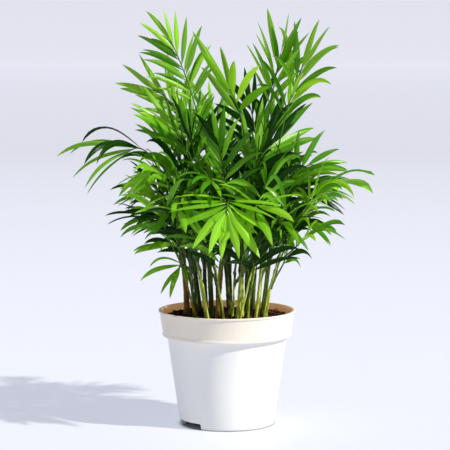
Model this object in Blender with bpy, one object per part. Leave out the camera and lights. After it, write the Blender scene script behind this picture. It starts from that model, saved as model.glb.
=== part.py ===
"""A potted bamboo palm: a clump of young canes with arching feather fronds, in a white nursery pot.

Metres, +Z up. The origin is the centre of the pot's flat underside. The photograph's camera looks along +Y.
Everything is worked out from the pot's sizes, the planting plan of the canes and one line for each frond.
"""

import math
import random
from collections import namedtuple

import bmesh
import bpy
from mathutils import Vector
from mathutils.bvhtree import BVHTree

MM = 0.001
UP = Vector((0, 0, 1))
GAP = 0.3 * MM

# Pot sizes
POT_HEIGHT = 109 * MM
RIM_RADIUS = 65 * MM
BAND_FOOT_RADIUS = 61.2 * MM
BAND_HEIGHT = 24 * MM
BODY_TOP_RADIUS = 56.8 * MM
FOOT_RADIUS = 44.6 * MM
FOOT_CHAMFER = 1.2 * MM
WALL = 1.8 * MM
LIP_OVERHANG = 1.2 * MM
LIP_DEPTH = 2.4 * MM
LIP_CHAMFER_SHARE = 0.4
POT_SIDES = 36

# Drainage notches under the pot, and the raised pockets above them
NOTCH_HEADINGS = (-146, 34)
NOTCH_HALF_ANGLE = 23
NOTCH_HEIGHT = 5.8 * MM
NOTCH_DEPTH = 11 * MM
NOTCH_STEPS = 6

# Potting mix
SOIL_LEVEL = POT_HEIGHT - 7 * MM

# Canes: foot and top across the pot in millimetres, height above the mix, and thickness
Cane = namedtuple("Cane", "foot top height thickness")
CANES = (
    Cane((-38, 6), (-45, 4), 92, 6.0),
    Cane((-31, -6), (-36, -14), 64, 3.8),
    Cane((-19, -24), (-33, -34), 78, 3.8),
    Cane((-20, 14), (-24, 22), 106, 4.6),
    Cane((-14, -6), (-23, -12), 100, 4.8),
    Cane((-9, -18), (-1, -28), 92, 4.6),
    Cane((2, 5), (-8, 2), 104, 4.2),
    Cane((3, 34), (2, 46), 92, 4.4),
    Cane((10, -24), (20, -34), 84, 4.4),
    Cane((14, -8), (16, -12), 110, 4.2),
    Cane((18, 9), (31, 14), 112, 4.2),
    Cane((25, 33), (30, 46), 90, 4.2),
    Cane((29, -5), (37, -4), 98, 4.0),
    Cane((27, -20), (38, -32), 76, 3.8),
    Cane((36, -11), (50, -17), 60, 3.4),
    Cane((-26, 30), (-38, 42), 92, 4.4),
    Cane((36, 16), (46, 28), 92, 4.2),
)
CANE_TOP_SHARE = 0.6
CANE_BOW = 0.3
CANE_FLARE = 1.25
FLARE_HEIGHT = 0.1
CANE_SIDES = 6
CANE_RINGS = (0.0, 0.06, 0.28, 0.33, 0.66, 1.0)
CANE_SWELLING = 1.1
POINT_LENGTH = 3

# Fronds: the cane, how far up it the stalk leaves, and the rib's tip in millimetres. Then the stalk's rise
# and its lean outwards, in shares of the frond's reach, the bare share of the rib, the blade's turn about the
# rib and the spread of its lowest leaflets in degrees, and the leaflets' number, length in millimetres and droop
Frond = namedtuple("Frond", "cane share tip rise lean bare turn spread leaves leaf droop")
FRONDS = (
    Frond(6, 0.96, (-53, 12, 363), 0.58, 0.00, 0.62, 82, 44, 12, 45, 0.5),
    Frond(9, 0.96, (4, -30, 320), 0.60, -0.16, 0.74, 30, 50, 8, 66, 0.3),
    Frond(10, 0.96, (50, 0, 350), 0.58, -0.05, 0.64, -80, 36, 8, 54, 0.25),
    Frond(12, 0.92, (70, -16, 338), 0.68, 0.00, 0.60, -62, 38, 11, 58, 0.9),
    Frond(3, 0.60, (-58, -24, 240), 0.80, 0.20, 0.40, 20, 50, 10, 46, 1.1),
    Frond(3, 0.84, (-70, 32, 316), 0.78, -0.05, 0.50, 65, 46, 9, 46, 0.3),
    Frond(4, 0.95, (-52, -15, 282), 0.80, 0.00, 0.56, 55, 42, 8, 54, 0.4),
    Frond(0, 0.96, (-88, -12, 262), 0.96, 0.14, 0.78, 5, 30, 8, 74, 1.5),
    Frond(0, 0.80, (-66, 2, 214), 0.80, 0.25, 0.40, 20, 48, 11, 46, 1.3),
    Frond(4, 0.80, (-44, -46, 222), 0.95, 0.25, 0.50, 20, 55, 9, 58, 1.3),
    Frond(2, 0.92, (-42, -66, 210), 0.90, 0.45, 0.55, 15, 60, 9, 52, 1.0),
    Frond(5, 0.95, (-1, -88, 208), 0.85, 0.72, 0.66, 0, 80, 12, 52, 0.5),
    Frond(8, 0.95, (25, -82, 212), 0.85, 0.60, 0.66, -10, 66, 8, 48, 0.6),
    Frond(9, 0.72, (36, 12, 261), 0.60, -0.10, 0.60, -60, 36, 8, 58, 0.15),
    Frond(12, 0.76, (82, 6, 246), 0.85, 0.15, 0.45, -50, 44, 10, 42, 0.5),
    Frond(13, 0.96, (84, -22, 224), 0.82, 0.45, 0.56, -10, 34, 8, 62, 1.6),
    Frond(13, 0.80, (76, -40, 212), 0.75, 0.50, 0.45, -15, 52, 11, 50, 1.3),
    Frond(14, 0.95, (70, -30, 178), 0.60, 0.50, 0.30, -10, 48, 9, 50, 1.5),
    Frond(1, 0.95, (-52, -16, 172), 0.60, 0.50, 0.30, 15, 48, 8, 42, 1.2),
    Frond(1, 0.74, (-45, -24, 152), 0.60, 0.50, 0.40, 15, 48, 5, 40, 1.4),
    Frond(2, 0.95, (-72, -48, 240), 1.20, 0.05, 0.45, 20, 50, 12, 42, 1.1),
    Frond(4, 0.70, (-34, -42, 288), 0.60, 0.00, 0.46, 40, 42, 11, 48, 0.6),
    Frond(5, 0.78, (-8, -46, 270), 0.62, 0.00, 0.40, 10, 46, 12, 48, 0.7),
    Frond(8, 0.78, (36, -62, 236), 0.74, 0.15, 0.40, -15, 52, 12, 46, 1.2),
    Frond(6, 0.80, (-14, -64, 236), 0.74, 0.15, 0.40, 15, 52, 12, 46, 1.2),
    Frond(9, 0.60, (36, -40, 274), 0.60, 0.00, 0.42, -35, 44, 12, 48, 0.6),
    Frond(8, 0.60, (52, -68, 198), 0.80, 0.40, 0.40, -10, 52, 10, 46, 1.2),
    Frond(7, 0.96, (-14, 80, 290), 0.66, 0.00, 0.44, 0, 42, 12, 54, 0.6),
    Frond(7, 0.82, (16, 96, 242), 0.80, 0.20, 0.45, 10, 46, 11, 52, 1.1),
    Frond(11, 0.96, (46, 84, 276), 0.66, 0.10, 0.50, -10, 42, 11, 54, 0.6),
    Frond(11, 0.82, (76, 72, 214), 0.80, 0.25, 0.45, -10, 46, 11, 50, 1.1),
    Frond(15, 0.96, (-50, 86, 272), 0.66, 0.10, 0.50, 10, 42, 11, 54, 0.6),
    Frond(15, 0.82, (-72, 62, 214), 0.80, 0.25, 0.45, 10, 46, 11, 48, 1.1),
    Frond(7, 0.68, (-16, 90, 194), 0.80, 0.25, 0.45, 0, 48, 9, 50, 1.1),
    Frond(11, 0.68, (50, 86, 182), 0.80, 0.25, 0.45, 0, 48, 9, 48, 1.1),
    Frond(15, 0.68, (-48, 84, 182), 0.80, 0.25, 0.45, 0, 48, 9, 46, 1.1),
    Frond(10, 0.68, (22, 50, 300), 0.62, 0.00, 0.50, 20, 42, 11, 52, 0.5),
    Frond(16, 0.92, (82, 48, 224), 0.80, 0.25, 0.45, -10, 46, 11, 48, 1.1),
    Frond(3, 0.72, (-34, 56, 286), 0.62, 0.00, 0.50, 30, 42, 11, 50, 0.5),
    Frond(16, 0.74, (76, 22, 190), 0.80, 0.25, 0.45, -10, 48, 9, 46, 1.1),
)
STALK_RADIUS = 1.0 * MM
STALK_HOLDS = (0.5, 0.7, 0.9, 1.1, 1.3)
RIB_TIP_RADIUS = 0.6 * MM
RIB_RINGS = 8
RIB_SIDES = 3

# Leaflets
HIGHEST_ANGLE = 8
CLOSING_POWER = 1.7
ANGLE_WOBBLE = 6
LIFT = 10
LIFT_WOBBLE = 8
FACE_WOBBLE = 0.6
FACE_SET_BACK = 0.2
LENGTH_WOBBLE = 0.08
DROOP_WOBBLE = 0.3
LEAF_WIDTH_SHARE = 0.12
LEAF_THICKNESS = 0.9 * MM
ROOT_WIDTH = 0.7 * MM
ROOT_THICKNESS = 0.4 * MM
ROOT_SHIFT = 0.15 * MM
KEEL_SHARE = 0.6
SECOND_WIDTH_SHARE = 0.7
LEAF_STEPS = 12
BENT_DROOP = 0.45
TRIES = ((0, 1.0), (14, 1.0), (-14, 1.0), (26, 0.92), (-26, 0.92), (36, 0.8), (-36, 0.8))
RIB_TRIES = 60
RIB_NUDGE = 0.4 * MM
RIB_SWING = 0.08
MOST_SWING = 2.2


def clear_scene():
    """Empties the scene of whatever it opened with."""
    for obj in list(bpy.data.objects):
        bpy.data.objects.remove(obj)


def material(name, colour, roughness):
    """A plain finish in one colour."""
    made = bpy.data.materials.new(name)
    made.use_nodes = True
    shader = made.node_tree.nodes["Principled BSDF"]
    shader.inputs["Base Color"].default_value = (*colour, 1)
    shader.inputs["Roughness"].default_value = roughness
    return made


def add_object(name, points, faces, finish, smooth_degrees=None):
    """One mesh object from points and faces, with its faces turned outwards."""
    mesh = bpy.data.meshes.new(name)
    mesh.from_pydata([tuple(p) for p in points], [], faces)
    work = bmesh.new()
    work.from_mesh(mesh)
    bmesh.ops.recalc_face_normals(work, faces=work.faces)
    work.to_mesh(mesh)
    work.free()
    if smooth_degrees:
        mesh.shade_smooth()
        mesh.set_sharp_from_angle(angle=math.radians(smooth_degrees))
    mesh.materials.append(finish)
    obj = bpy.data.objects.new(name, mesh)
    bpy.context.scene.collection.objects.link(obj)
    return obj


def apply_boolean(obj, operation, others):
    """Joins or cuts obj with other objects in one Boolean, applies it and removes them."""
    group = bpy.data.collections.new(obj.name + " tools")
    bpy.context.scene.collection.children.link(group)
    for other in others:
        bpy.context.scene.collection.objects.unlink(other)
        group.objects.link(other)
    boolean = obj.modifiers.new("Boolean", "BOOLEAN")
    boolean.operation = operation
    boolean.operand_type = "COLLECTION"
    boolean.collection = group
    boolean.solver = "MANIFOLD"
    graph = bpy.context.evaluated_depsgraph_get()
    joined = bpy.data.meshes.new_from_object(obj.evaluated_get(graph))
    obj.modifiers.clear()
    obj.data = joined
    for other in list(group.objects):
        bpy.data.objects.remove(other)
    bpy.data.collections.remove(group)


def keep_outer_skin(obj):
    """Fills sealed hollows and drops loose scraps: of the mesh's separate skins only the largest stays."""
    work = bmesh.new()
    work.from_mesh(obj.data)
    work.verts.ensure_lookup_table()
    skins, seen = [], set()
    for vert in work.verts:
        if vert in seen:
            continue
        skin, queue = [], [vert]
        seen.add(vert)
        while queue:
            here = queue.pop()
            skin.append(here)
            for edge in here.link_edges:
                other = edge.other_vert(here)
                if other not in seen:
                    seen.add(other)
                    queue.append(other)
        skins.append(skin)
    skins.sort(key=len)
    for skin in skins[:-1]:
        bmesh.ops.delete(work, geom=skin, context="VERTS")
    work.to_mesh(obj.data)
    work.free()


def turned(name, profile, sides, finish):
    """A closed solid of revolution about Z. Its profile starts and ends on the axis."""
    points, rings = [], []
    for radius, z in profile:
        if radius == 0:
            rings.append([len(points)])
            points.append((0, 0, z))
            continue
        rings.append(list(range(len(points), len(points) + sides)))
        for k in range(sides):
            angle = 2 * math.pi * k / sides
            points.append((radius * math.cos(angle), radius * math.sin(angle), z))
    faces = []
    for low, high in zip(rings, rings[1:]):
        for k in range(sides):
            n = (k + 1) % sides
            if len(low) == 1:
                faces.append((low[0], high[k], high[n]))
            elif len(high) == 1:
                faces.append((low[k], low[n], high[0]))
            else:
                faces.append((low[k], low[n], high[n], high[k]))
    return add_object(name, points, faces, finish, smooth_degrees=40)


def sector(name, inner, outer, heading, half_angle, bottom, top, finish):
    """A block that fills part of a ring, for a notch or its pocket."""
    points = []
    for z in (bottom, top):
        for radius in (inner, outer):
            for k in range(NOTCH_STEPS + 1):
                angle = math.radians(heading - half_angle + 2 * half_angle * k / NOTCH_STEPS)
                points.append((radius * math.cos(angle), radius * math.sin(angle), z))
    row = NOTCH_STEPS + 1
    faces = []
    for k in range(NOTCH_STEPS):
        low_in, low_out, high_in, high_out = (k + row * n for n in range(4))
        faces.append((low_in, low_in + 1, low_out + 1, low_out))
        faces.append((high_in, high_out, high_out + 1, high_in + 1))
        faces.append((low_in, high_in, high_in + 1, low_in + 1))
        faces.append((low_out, low_out + 1, high_out + 1, high_out))
    for k in (0, NOTCH_STEPS):
        faces.append((k, k + row, k + 3 * row, k + 2 * row))
    return add_object(name, points, faces, finish)


def body_radius(z):
    """The pot's outer radius at a height on its tapered body."""
    share = z / (POT_HEIGHT - BAND_HEIGHT)
    return FOOT_RADIUS + (BODY_TOP_RADIUS - FOOT_RADIUS) * share


def make_pot(finish):
    """The thin-walled pot: a flat floor, a tapered body, a deep rim band and a small lip."""
    step = POT_HEIGHT - BAND_HEIGHT
    lip_radius = RIM_RADIUS - LIP_OVERHANG
    outside = [
        (0, 0),
        (FOOT_RADIUS - FOOT_CHAMFER, 0),
        (FOOT_RADIUS, FOOT_CHAMFER),
        (BODY_TOP_RADIUS, step),
        (BAND_FOOT_RADIUS, step),
        (lip_radius, POT_HEIGHT - LIP_DEPTH),
        (RIM_RADIUS, POT_HEIGHT - LIP_DEPTH * (1 - LIP_CHAMFER_SHARE)),
        (RIM_RADIUS, POT_HEIGHT),
    ]
    inside = [
        (lip_radius - WALL, POT_HEIGHT),
        (BAND_FOOT_RADIUS - WALL, step + WALL),
        (BODY_TOP_RADIUS - WALL, step + WALL),
        (body_radius(WALL) - WALL, WALL),
        (0, WALL),
    ]
    pot = turned("pot", outside + inside, POT_SIDES, finish)
    inner = FOOT_RADIUS - NOTCH_DEPTH
    wall_angle = math.degrees(WALL / FOOT_RADIUS)
    pockets = [
        sector(
            f"pocket {heading}",
            inner - WALL,
            body_radius(NOTCH_HEIGHT) - WALL / 2,
            heading,
            NOTCH_HALF_ANGLE + wall_angle,
            WALL / 2,
            NOTCH_HEIGHT + WALL,
            finish,
        )
        for heading in NOTCH_HEADINGS
    ]
    apply_boolean(pot, "UNION", pockets)
    notches = [
        sector(
            f"notch {heading}",
            inner,
            FOOT_RADIUS + NOTCH_DEPTH,
            heading,
            NOTCH_HALF_ANGLE,
            -WALL,
            NOTCH_HEIGHT,
            finish,
        )
        for heading in NOTCH_HEADINGS
    ]
    apply_boolean(pot, "DIFFERENCE", notches)
    return pot


def make_soil(finish):
    """The potting mix that fills the pot to just under its rim, cut clear of the pockets."""
    step = POT_HEIGHT - BAND_HEIGHT + WALL + GAP
    floor = WALL + GAP
    clear = WALL + GAP
    slope = (RIM_RADIUS - LIP_OVERHANG - BAND_FOOT_RADIUS) / (BAND_HEIGHT - WALL)
    top_radius = BAND_FOOT_RADIUS - clear + slope * (SOIL_LEVEL - step) - GAP / 2
    profile = [
        (0, floor),
        (body_radius(WALL) - clear, floor),
        (BODY_TOP_RADIUS - clear, step),
        (BAND_FOOT_RADIUS - clear, step),
        (top_radius, SOIL_LEVEL),
        (0, SOIL_LEVEL),
    ]
    soil = turned("soil", profile, POT_SIDES, finish)
    wall_angle = math.degrees((WALL + GAP) / (FOOT_RADIUS - NOTCH_DEPTH))
    cutters = [
        sector(
            f"room {heading}",
            FOOT_RADIUS - NOTCH_DEPTH - WALL - GAP,
            FOOT_RADIUS + NOTCH_DEPTH,
            heading,
            NOTCH_HALF_ANGLE + wall_angle + 1,
            0,
            NOTCH_HEIGHT + WALL + GAP,
            finish,
        )
        for heading in NOTCH_HEADINGS
    ]
    apply_boolean(soil, "DIFFERENCE", cutters)
    return soil


def bend(start, control, end, t):
    """A point on the simple curve that leaves start towards control and arrives at end."""
    return start * (1 - t) ** 2 + control * 2 * t * (1 - t) + end * t * t


def bend_heading(start, control, end, t):
    """The curve's direction at t."""
    return ((control - start) * (1 - t) + (end - control) * t).normalized()


def tube(centres, radii, sides, pointed, ridges=None):
    """Points and faces of a tapered tube round a line of centres, flat at its foot, pointed or flat at its top."""
    points, faces = [], []
    across = (centres[1] - centres[0]).orthogonal().normalized()
    for k, (centre, radius) in enumerate(zip(centres, radii)):
        ahead = centres[min(k + 1, len(centres) - 1)] - centres[max(k - 1, 0)]
        ahead.normalize()
        if ridges:
            across = ridges[k]
        across = (across - ahead * across.dot(ahead)).normalized()
        other = ahead.cross(across)
        for side in range(sides):
            angle = 2 * math.pi * side / sides
            points.append(centre + (across * math.cos(angle) + other * math.sin(angle)) * radius)
    rings = len(centres)
    for ring in range(rings - 1):
        for side in range(sides):
            a, b = ring * sides + side, ring * sides + (side + 1) % sides
            faces.append((a, b, b + sides, a + sides))
    faces.append(tuple(reversed(range(sides))))
    top = list(range((rings - 1) * sides, rings * sides))
    if pointed:
        points.append(centres[-1] + (centres[-1] - centres[-2]).normalized() * radii[-1] * POINT_LENGTH)
        for side in range(sides):
            faces.append((top[side], top[(side + 1) % sides], len(points) - 1))
    else:
        faces.append(tuple(top))
    return points, faces


def cane_line(cane):
    """A cane's foot, middle control point and top, in metres."""
    foot = Vector((cane.foot[0], cane.foot[1], 0)) * MM
    top = Vector((cane.top[0], cane.top[1], cane.height)) * MM
    foot.z = SOIL_LEVEL + GAP
    top.z += SOIL_LEVEL
    control = (foot + top) / 2
    control.x = foot.x + (top.x - foot.x) * CANE_BOW
    control.y = foot.y + (top.y - foot.y) * CANE_BOW
    return foot, control, top


def cane_radius(cane, t):
    """A cane's radius at a share of its height."""
    foot = cane.thickness / 2 * MM
    flare = (CANE_FLARE - 1) * max(0.0, 1 - t / FLARE_HEIGHT)
    return foot * (1 - (1 - CANE_TOP_SHARE) * t + flare)


def cane_shape(cane, extra=0.0):
    """Points and faces of a cane: a flat cut foot with a flare, faint swellings and a pointed top."""
    line = cane_line(cane)
    centres = [bend(*line, t) for t in CANE_RINGS]
    radii = [cane_radius(cane, t) + extra for t in CANE_RINGS]
    radii[2] *= CANE_SWELLING
    return tube(centres, radii, CANE_SIDES, pointed=True)


def rib_line(frond, nudge, swing, hold):
    """A frond's stalk and rib as a curve: where it leaves the cane, its control point and its tip.

    Hold is how far the stalk's middle stands off the cane's skin, in stalk radii."""
    cane = CANES[frond.cane]
    line = cane_line(cane)
    on_cane = bend(*line, frond.share)
    along = bend_heading(*line, frond.share)
    tip = Vector(frond.tip) * MM + nudge
    outward = tip - on_cane
    outward -= along * outward.dot(along)
    outward.normalize()
    outward = outward * math.cos(swing) + along.cross(outward) * math.sin(swing)
    start = on_cane + outward * (cane_radius(cane, frond.share) + GAP + STALK_RADIUS * hold)
    reach = (tip - start).length
    level = Vector((tip.x - on_cane.x, tip.y - on_cane.y, 0)).normalized()
    control = start + along * reach * frond.rise + level * reach * frond.lean
    return start, control, tip


def rib_shape(line, turn, extra=0.0):
    """Points and faces of a frond's stalk and rib, with a ridge along the blade's upper face."""
    shares = [k / (RIB_RINGS - 1) for k in range(RIB_RINGS)]
    centres = [bend(*line, t) for t in shares]
    radii = [STALK_RADIUS + (RIB_TIP_RADIUS - STALK_RADIUS) * t + extra for t in shares]
    ridges = [rib_frame(line, turn, t)[2] for t in shares]
    return tube(centres, radii, RIB_SIDES, pointed=True, ridges=ridges)


def rib_frame(line, turn, t):
    """The rib's direction, the blade's sideways direction and its upper face's normal at t."""
    ahead = bend_heading(*line, t)
    out = line[2] - line[0]
    out.z = 0
    side = out.cross(UP).normalized()
    side = (side - ahead * side.dot(ahead)).normalized()
    face = side.cross(ahead)
    angle = math.radians(turn)
    return (
        ahead,
        side * math.cos(angle) + face * math.sin(angle),
        face * math.cos(angle) - side * math.sin(angle),
    )


Leaf = namedtuple("Leaf", "root heading face length width droop")


def leaf_places(frond):
    """Each leaflet's share of the rib's leafy part, its place on the rib and its side, in turn up the rib."""
    for number in range(frond.leaves):
        share = number / (frond.leaves - 1)
        yield share, frond.bare + (1 - frond.bare) * share, 1 - 2 * (number % 2)


def leaf_at(frond, line, share, t, side, wobble, shift, shrink):
    """One leaflet: where it is rooted, the way it points, its face, its size and its droop."""
    ahead, across, face = rib_frame(line, frond.turn, t)
    angle = frond.spread + (HIGHEST_ANGLE - frond.spread) * share**CLOSING_POWER
    angle += wobble[0] * ANGLE_WOBBLE
    lift = LIFT * (1 - share) + wobble[1] * LIFT_WOBBLE + shift
    heading = ahead * math.cos(math.radians(angle)) + across * side * math.sin(math.radians(angle))
    heading = (heading + face * math.tan(math.radians(lift))).normalized()
    normal = (face + across * side * FACE_WOBBLE * wobble[2] - ahead * FACE_SET_BACK).normalized()
    length = frond.leaf * MM * (0.78 + 0.3 * math.sin(math.pi * (0.2 + 0.75 * share)))
    length *= shrink * (1 + LENGTH_WOBBLE * wobble[3])
    width = length * LEAF_WIDTH_SHARE * (0.85 + 0.3 * share)
    droop = frond.droop * (1.2 - 0.5 * share) * (1 + DROOP_WOBBLE * wobble[4])
    root = bend(*line, t) + (across * side - face) * ROOT_SHIFT
    return Leaf(root, heading, normal, length, width, droop)


def leaf_middle(leaf, shares):
    """Centre, sideways direction and normal of a leaflet at given shares of its length, as it bends down."""
    found = []
    point, wanted = leaf.root.copy(), list(shares)
    for step in range(LEAF_STEPS + 1):
        share = step / LEAF_STEPS
        heading = (leaf.heading - UP * leaf.droop * share * share).normalized()
        while wanted and wanted[0] <= share + 1e-6:
            wanted.pop(0)
            side = heading.cross(leaf.face).normalized()
            found.append((point.copy(), side, side.cross(heading)))
        point = point + heading * leaf.length / LEAF_STEPS
    return found


def leaf_shape(leaf, extra=0.0):
    """Points and faces of a leaflet: a keeled blade from a narrow root to a point, bent once if it droops."""
    if leaf.droop > BENT_DROOP:
        steps, widths = (0, 4, 8, LEAF_STEPS), (ROOT_WIDTH, leaf.width, leaf.width * SECOND_WIDTH_SHARE)
    else:
        steps, widths = (0, 5, LEAF_STEPS), (ROOT_WIDTH, leaf.width)
    middle = leaf_middle(leaf, [step / LEAF_STEPS for step in steps])
    points, faces = [], []
    for (centre, side, normal), width in zip(middle, widths):
        half = side * (width / 2 + extra)
        thickness = LEAF_THICKNESS if points else ROOT_THICKNESS
        top = centre + normal * (thickness * (1 - KEEL_SHARE) + extra)
        points += [top + half, top - half, centre - normal * (thickness * KEEL_SHARE + extra)]
    points.append(middle[-1][0])
    last = len(points) - 4
    for ring in range(0, last, 3):
        for k in range(3):
            n = (k + 1) % 3
            faces.append((ring + k, ring + n, ring + n + 3, ring + k + 3))
    faces += [(2, 1, 0)] + [(last + k, last + (k + 1) % 3, last + 3) for k in range(3)]
    return points, faces


def tree_of(shape):
    """A search tree of a shape, for telling whether two shapes cross."""
    points, faces = shape
    return BVHTree.FromPolygons([tuple(p) for p in points], faces)


def is_clear(shape, trees):
    """Whether a shape crosses none of the trees and stays above the mix."""
    if min(p.z for p in shape[0]) < SOIL_LEVEL + GAP:
        return False
    tree = tree_of(shape)
    return not any(tree.overlap(other) for other in trees)


def find_rib(number, frond, trees):
    """A rib that is clear of the trees. Its tip and foot move as little as will do, seeded by its number."""
    chance = random.Random(number)
    for attempt in range(RIB_TRIES):
        nudge = Vector([chance.uniform(-1, 1) for _ in range(3)]) * attempt * RIB_NUDGE
        swing = chance.uniform(-1, 1) * min(attempt * RIB_SWING, MOST_SWING)
        for hold in STALK_HOLDS:
            line = rib_line(frond, nudge, swing, hold)
            shape = rib_shape(line, frond.turn, extra=GAP)
            if is_clear(shape, trees):
                return line, tree_of(shape)
    return None, None


def place_ribs(cane_trees):
    """Every frond's rib, each clear of the canes and of the ribs before it."""
    lines, trees = [], []
    for number, frond in enumerate(FRONDS):
        line, tree = find_rib(number, frond, trees + cane_trees)
        if line is None:
            raise RuntimeError(f"no way through for frond {number}")
        lines.append(line)
        trees.append(tree)
        moved = (line[2] - Vector(frond.tip) * MM).length
        if moved > 3 * MM:
            print("frond", number, "moved", round(moved * 1000, 1), "mm")
    return lines, trees


def grow_leaves(number, frond, line, others):
    """A frond's leaflets. One that would cross anything is turned or shortened, and left out if that fails."""
    chance = random.Random(1000 + number)
    kept, trees = [], []
    for share, t, side in leaf_places(frond):
        wobble = [chance.uniform(-1, 1) for _ in range(5)]
        for shift, shrink in TRIES:
            leaf = leaf_at(frond, line, share, t, side, wobble, shift, shrink)
            shape = leaf_shape(leaf, extra=GAP)
            if is_clear(shape, others):
                kept.append(leaf)
                trees.append(tree_of(shape))
                break
    return kept, trees


def place_leaves(lines, rib_trees, cane_trees):
    """Every frond's leaflets, each clear of the canes, of the other ribs and of the leaflets before it."""
    kept, trees = [], []
    for number, (frond, line) in enumerate(zip(FRONDS, lines)):
        others = cane_trees + rib_trees[:number] + rib_trees[number + 1 :] + trees
        leaves, leaf_trees = grow_leaves(number, frond, line, others)
        kept.append(leaves)
        trees += leaf_trees
    print(sum(map(len, kept)), "leaflets of", sum(frond.leaves for frond in FRONDS))
    return kept


def make_frond(number, line, leaves, finish):
    """One frond: its stalk, rib and leaflets joined into a single solid."""
    frond = add_object(f"frond_{number + 1:02d}", *rib_shape(line, FRONDS[number].turn), finish)
    blades = [add_object(f"blade {k}", *leaf_shape(leaf), finish) for k, leaf in enumerate(leaves)]
    apply_boolean(frond, "UNION", blades)
    keep_outer_skin(frond)
    return frond


def main():
    clear_scene()
    pot_white = material("pot white", (0.86, 0.85, 0.80), 0.45)
    mix_brown = material("mix brown", (0.06, 0.035, 0.02), 0.95)
    cane_green = material("cane green", (0.20, 0.27, 0.07), 0.5)
    frond_green = material("frond green", (0.13, 0.36, 0.05), 0.4)
    make_pot(pot_white)
    make_soil(mix_brown)
    for number, cane in enumerate(CANES):
        add_object(f"cane_{number + 1:02d}", *cane_shape(cane), cane_green, smooth_degrees=50)
    cane_trees = [tree_of(cane_shape(cane, extra=GAP)) for cane in CANES]
    lines, rib_trees = place_ribs(cane_trees)
    leaves = place_leaves(lines, rib_trees, cane_trees)
    for number, line in enumerate(lines):
        make_frond(number, line, leaves[number], frond_green)


main()
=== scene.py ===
# %% [markdown]
# A potted bamboo palm
#
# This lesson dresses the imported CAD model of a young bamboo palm: thin canes rise out of dark potting mix
# in a white nursery pot, and feather fronds of pointed leaflets arch out of them on every side. The pot and
# the mix are modelled with mesh operators, and the plant grows by the same rule and the same seeds as the
# CAD model, in finer pieces: canes with rings and sheaths, channelled stalks, and folded leaflets with a
# midrib.

# %% Load the frame
import math
import random
from collections import namedtuple

import bmesh
import bpy
from mathutils import Matrix, Vector, noise
from mathutils.bvhtree import BVHTree


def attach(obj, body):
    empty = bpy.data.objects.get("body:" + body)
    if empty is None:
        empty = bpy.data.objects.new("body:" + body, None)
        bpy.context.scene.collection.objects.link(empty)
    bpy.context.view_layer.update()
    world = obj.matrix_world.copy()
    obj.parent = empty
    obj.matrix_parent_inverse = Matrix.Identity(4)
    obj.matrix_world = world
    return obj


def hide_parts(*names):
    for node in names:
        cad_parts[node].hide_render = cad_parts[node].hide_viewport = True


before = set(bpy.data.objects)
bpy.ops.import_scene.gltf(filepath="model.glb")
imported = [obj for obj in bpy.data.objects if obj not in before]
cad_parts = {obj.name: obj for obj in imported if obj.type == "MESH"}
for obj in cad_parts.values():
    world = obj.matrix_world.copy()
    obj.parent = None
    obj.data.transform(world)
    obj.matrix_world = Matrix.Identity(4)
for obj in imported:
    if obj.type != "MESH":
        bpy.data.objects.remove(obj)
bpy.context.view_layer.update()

MM = 0.001
UP = Vector((0, 0, 1))
GAP = 0.3 * MM

# %% [markdown]
# The sizes of the pot
#
# The photograph gives no size, so the pot is taken as a common five inch nursery pot, 130 mm across the rim
# and 109 mm tall. These are the CAD model's sizes, so the finer pot fills the same space. Each is written
# once, and the rest is worked out from them.

# %% Sizes of the pot
POT_HEIGHT = 109 * MM
RIM_RADIUS = 65 * MM
BAND_FOOT_RADIUS = 61.2 * MM
BAND_HEIGHT = 24 * MM
BODY_TOP_RADIUS = 56.8 * MM
FOOT_RADIUS = 44.6 * MM
FOOT_CHAMFER = 1.2 * MM
WALL = 1.4 * MM
LIP_OVERHANG = 1.2 * MM
LIP_DEPTH = 2.4 * MM
SOIL_LEVEL = POT_HEIGHT - 7 * MM
BAND_FOOT = POT_HEIGHT - BAND_HEIGHT
LIP_RADIUS = RIM_RADIUS - LIP_OVERHANG
print("the band's foot is at", round(BAND_FOOT / MM, 1), "mm and the mix at", round(SOIL_LEVEL / MM, 1), "mm")

# %% [markdown]
# The plan of the canes
#
# This palm grows as a clump of thin canes. A cane could be drawn point by point, but it is told here by its
# foot, its top and a few values that all canes share, so that one change reshapes the whole clump.

# %% Plan the canes
# Each cane: foot and top across the pot in millimetres, height above the mix, and thickness
Cane = namedtuple("Cane", "foot top height thickness")
CANES = (
    Cane((-38, 6), (-45, 4), 92, 6.0),
    Cane((-31, -6), (-36, -14), 64, 3.8),
    Cane((-19, -24), (-33, -34), 78, 3.8),
    Cane((-20, 14), (-24, 22), 106, 4.6),
    Cane((-14, -6), (-23, -12), 100, 4.8),
    Cane((-9, -18), (-1, -28), 92, 4.6),
    Cane((2, 5), (-8, 2), 104, 4.2),
    Cane((3, 34), (2, 46), 92, 4.4),
    Cane((10, -24), (20, -34), 84, 4.4),
    Cane((14, -8), (16, -12), 110, 4.2),
    Cane((18, 9), (31, 14), 112, 4.2),
    Cane((25, 33), (30, 46), 90, 4.2),
    Cane((29, -5), (37, -4), 98, 4.0),
    Cane((27, -20), (38, -32), 76, 3.8),
    Cane((36, -11), (50, -17), 60, 3.4),
    Cane((-26, 30), (-38, 42), 92, 4.4),
    Cane((36, 16), (46, 28), 92, 4.2),
)
print(len(CANES), "canes, up to", max(cane.height for cane in CANES), "mm above the mix")

# %% [markdown]
# The plan of the fronds
#
# A frond leaves its cane and bends over to its tip under its own weight. Only those two places and the way
# it bends and opens are told here. The growth rule below finds every leaflet, as it does in the CAD model.

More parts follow.
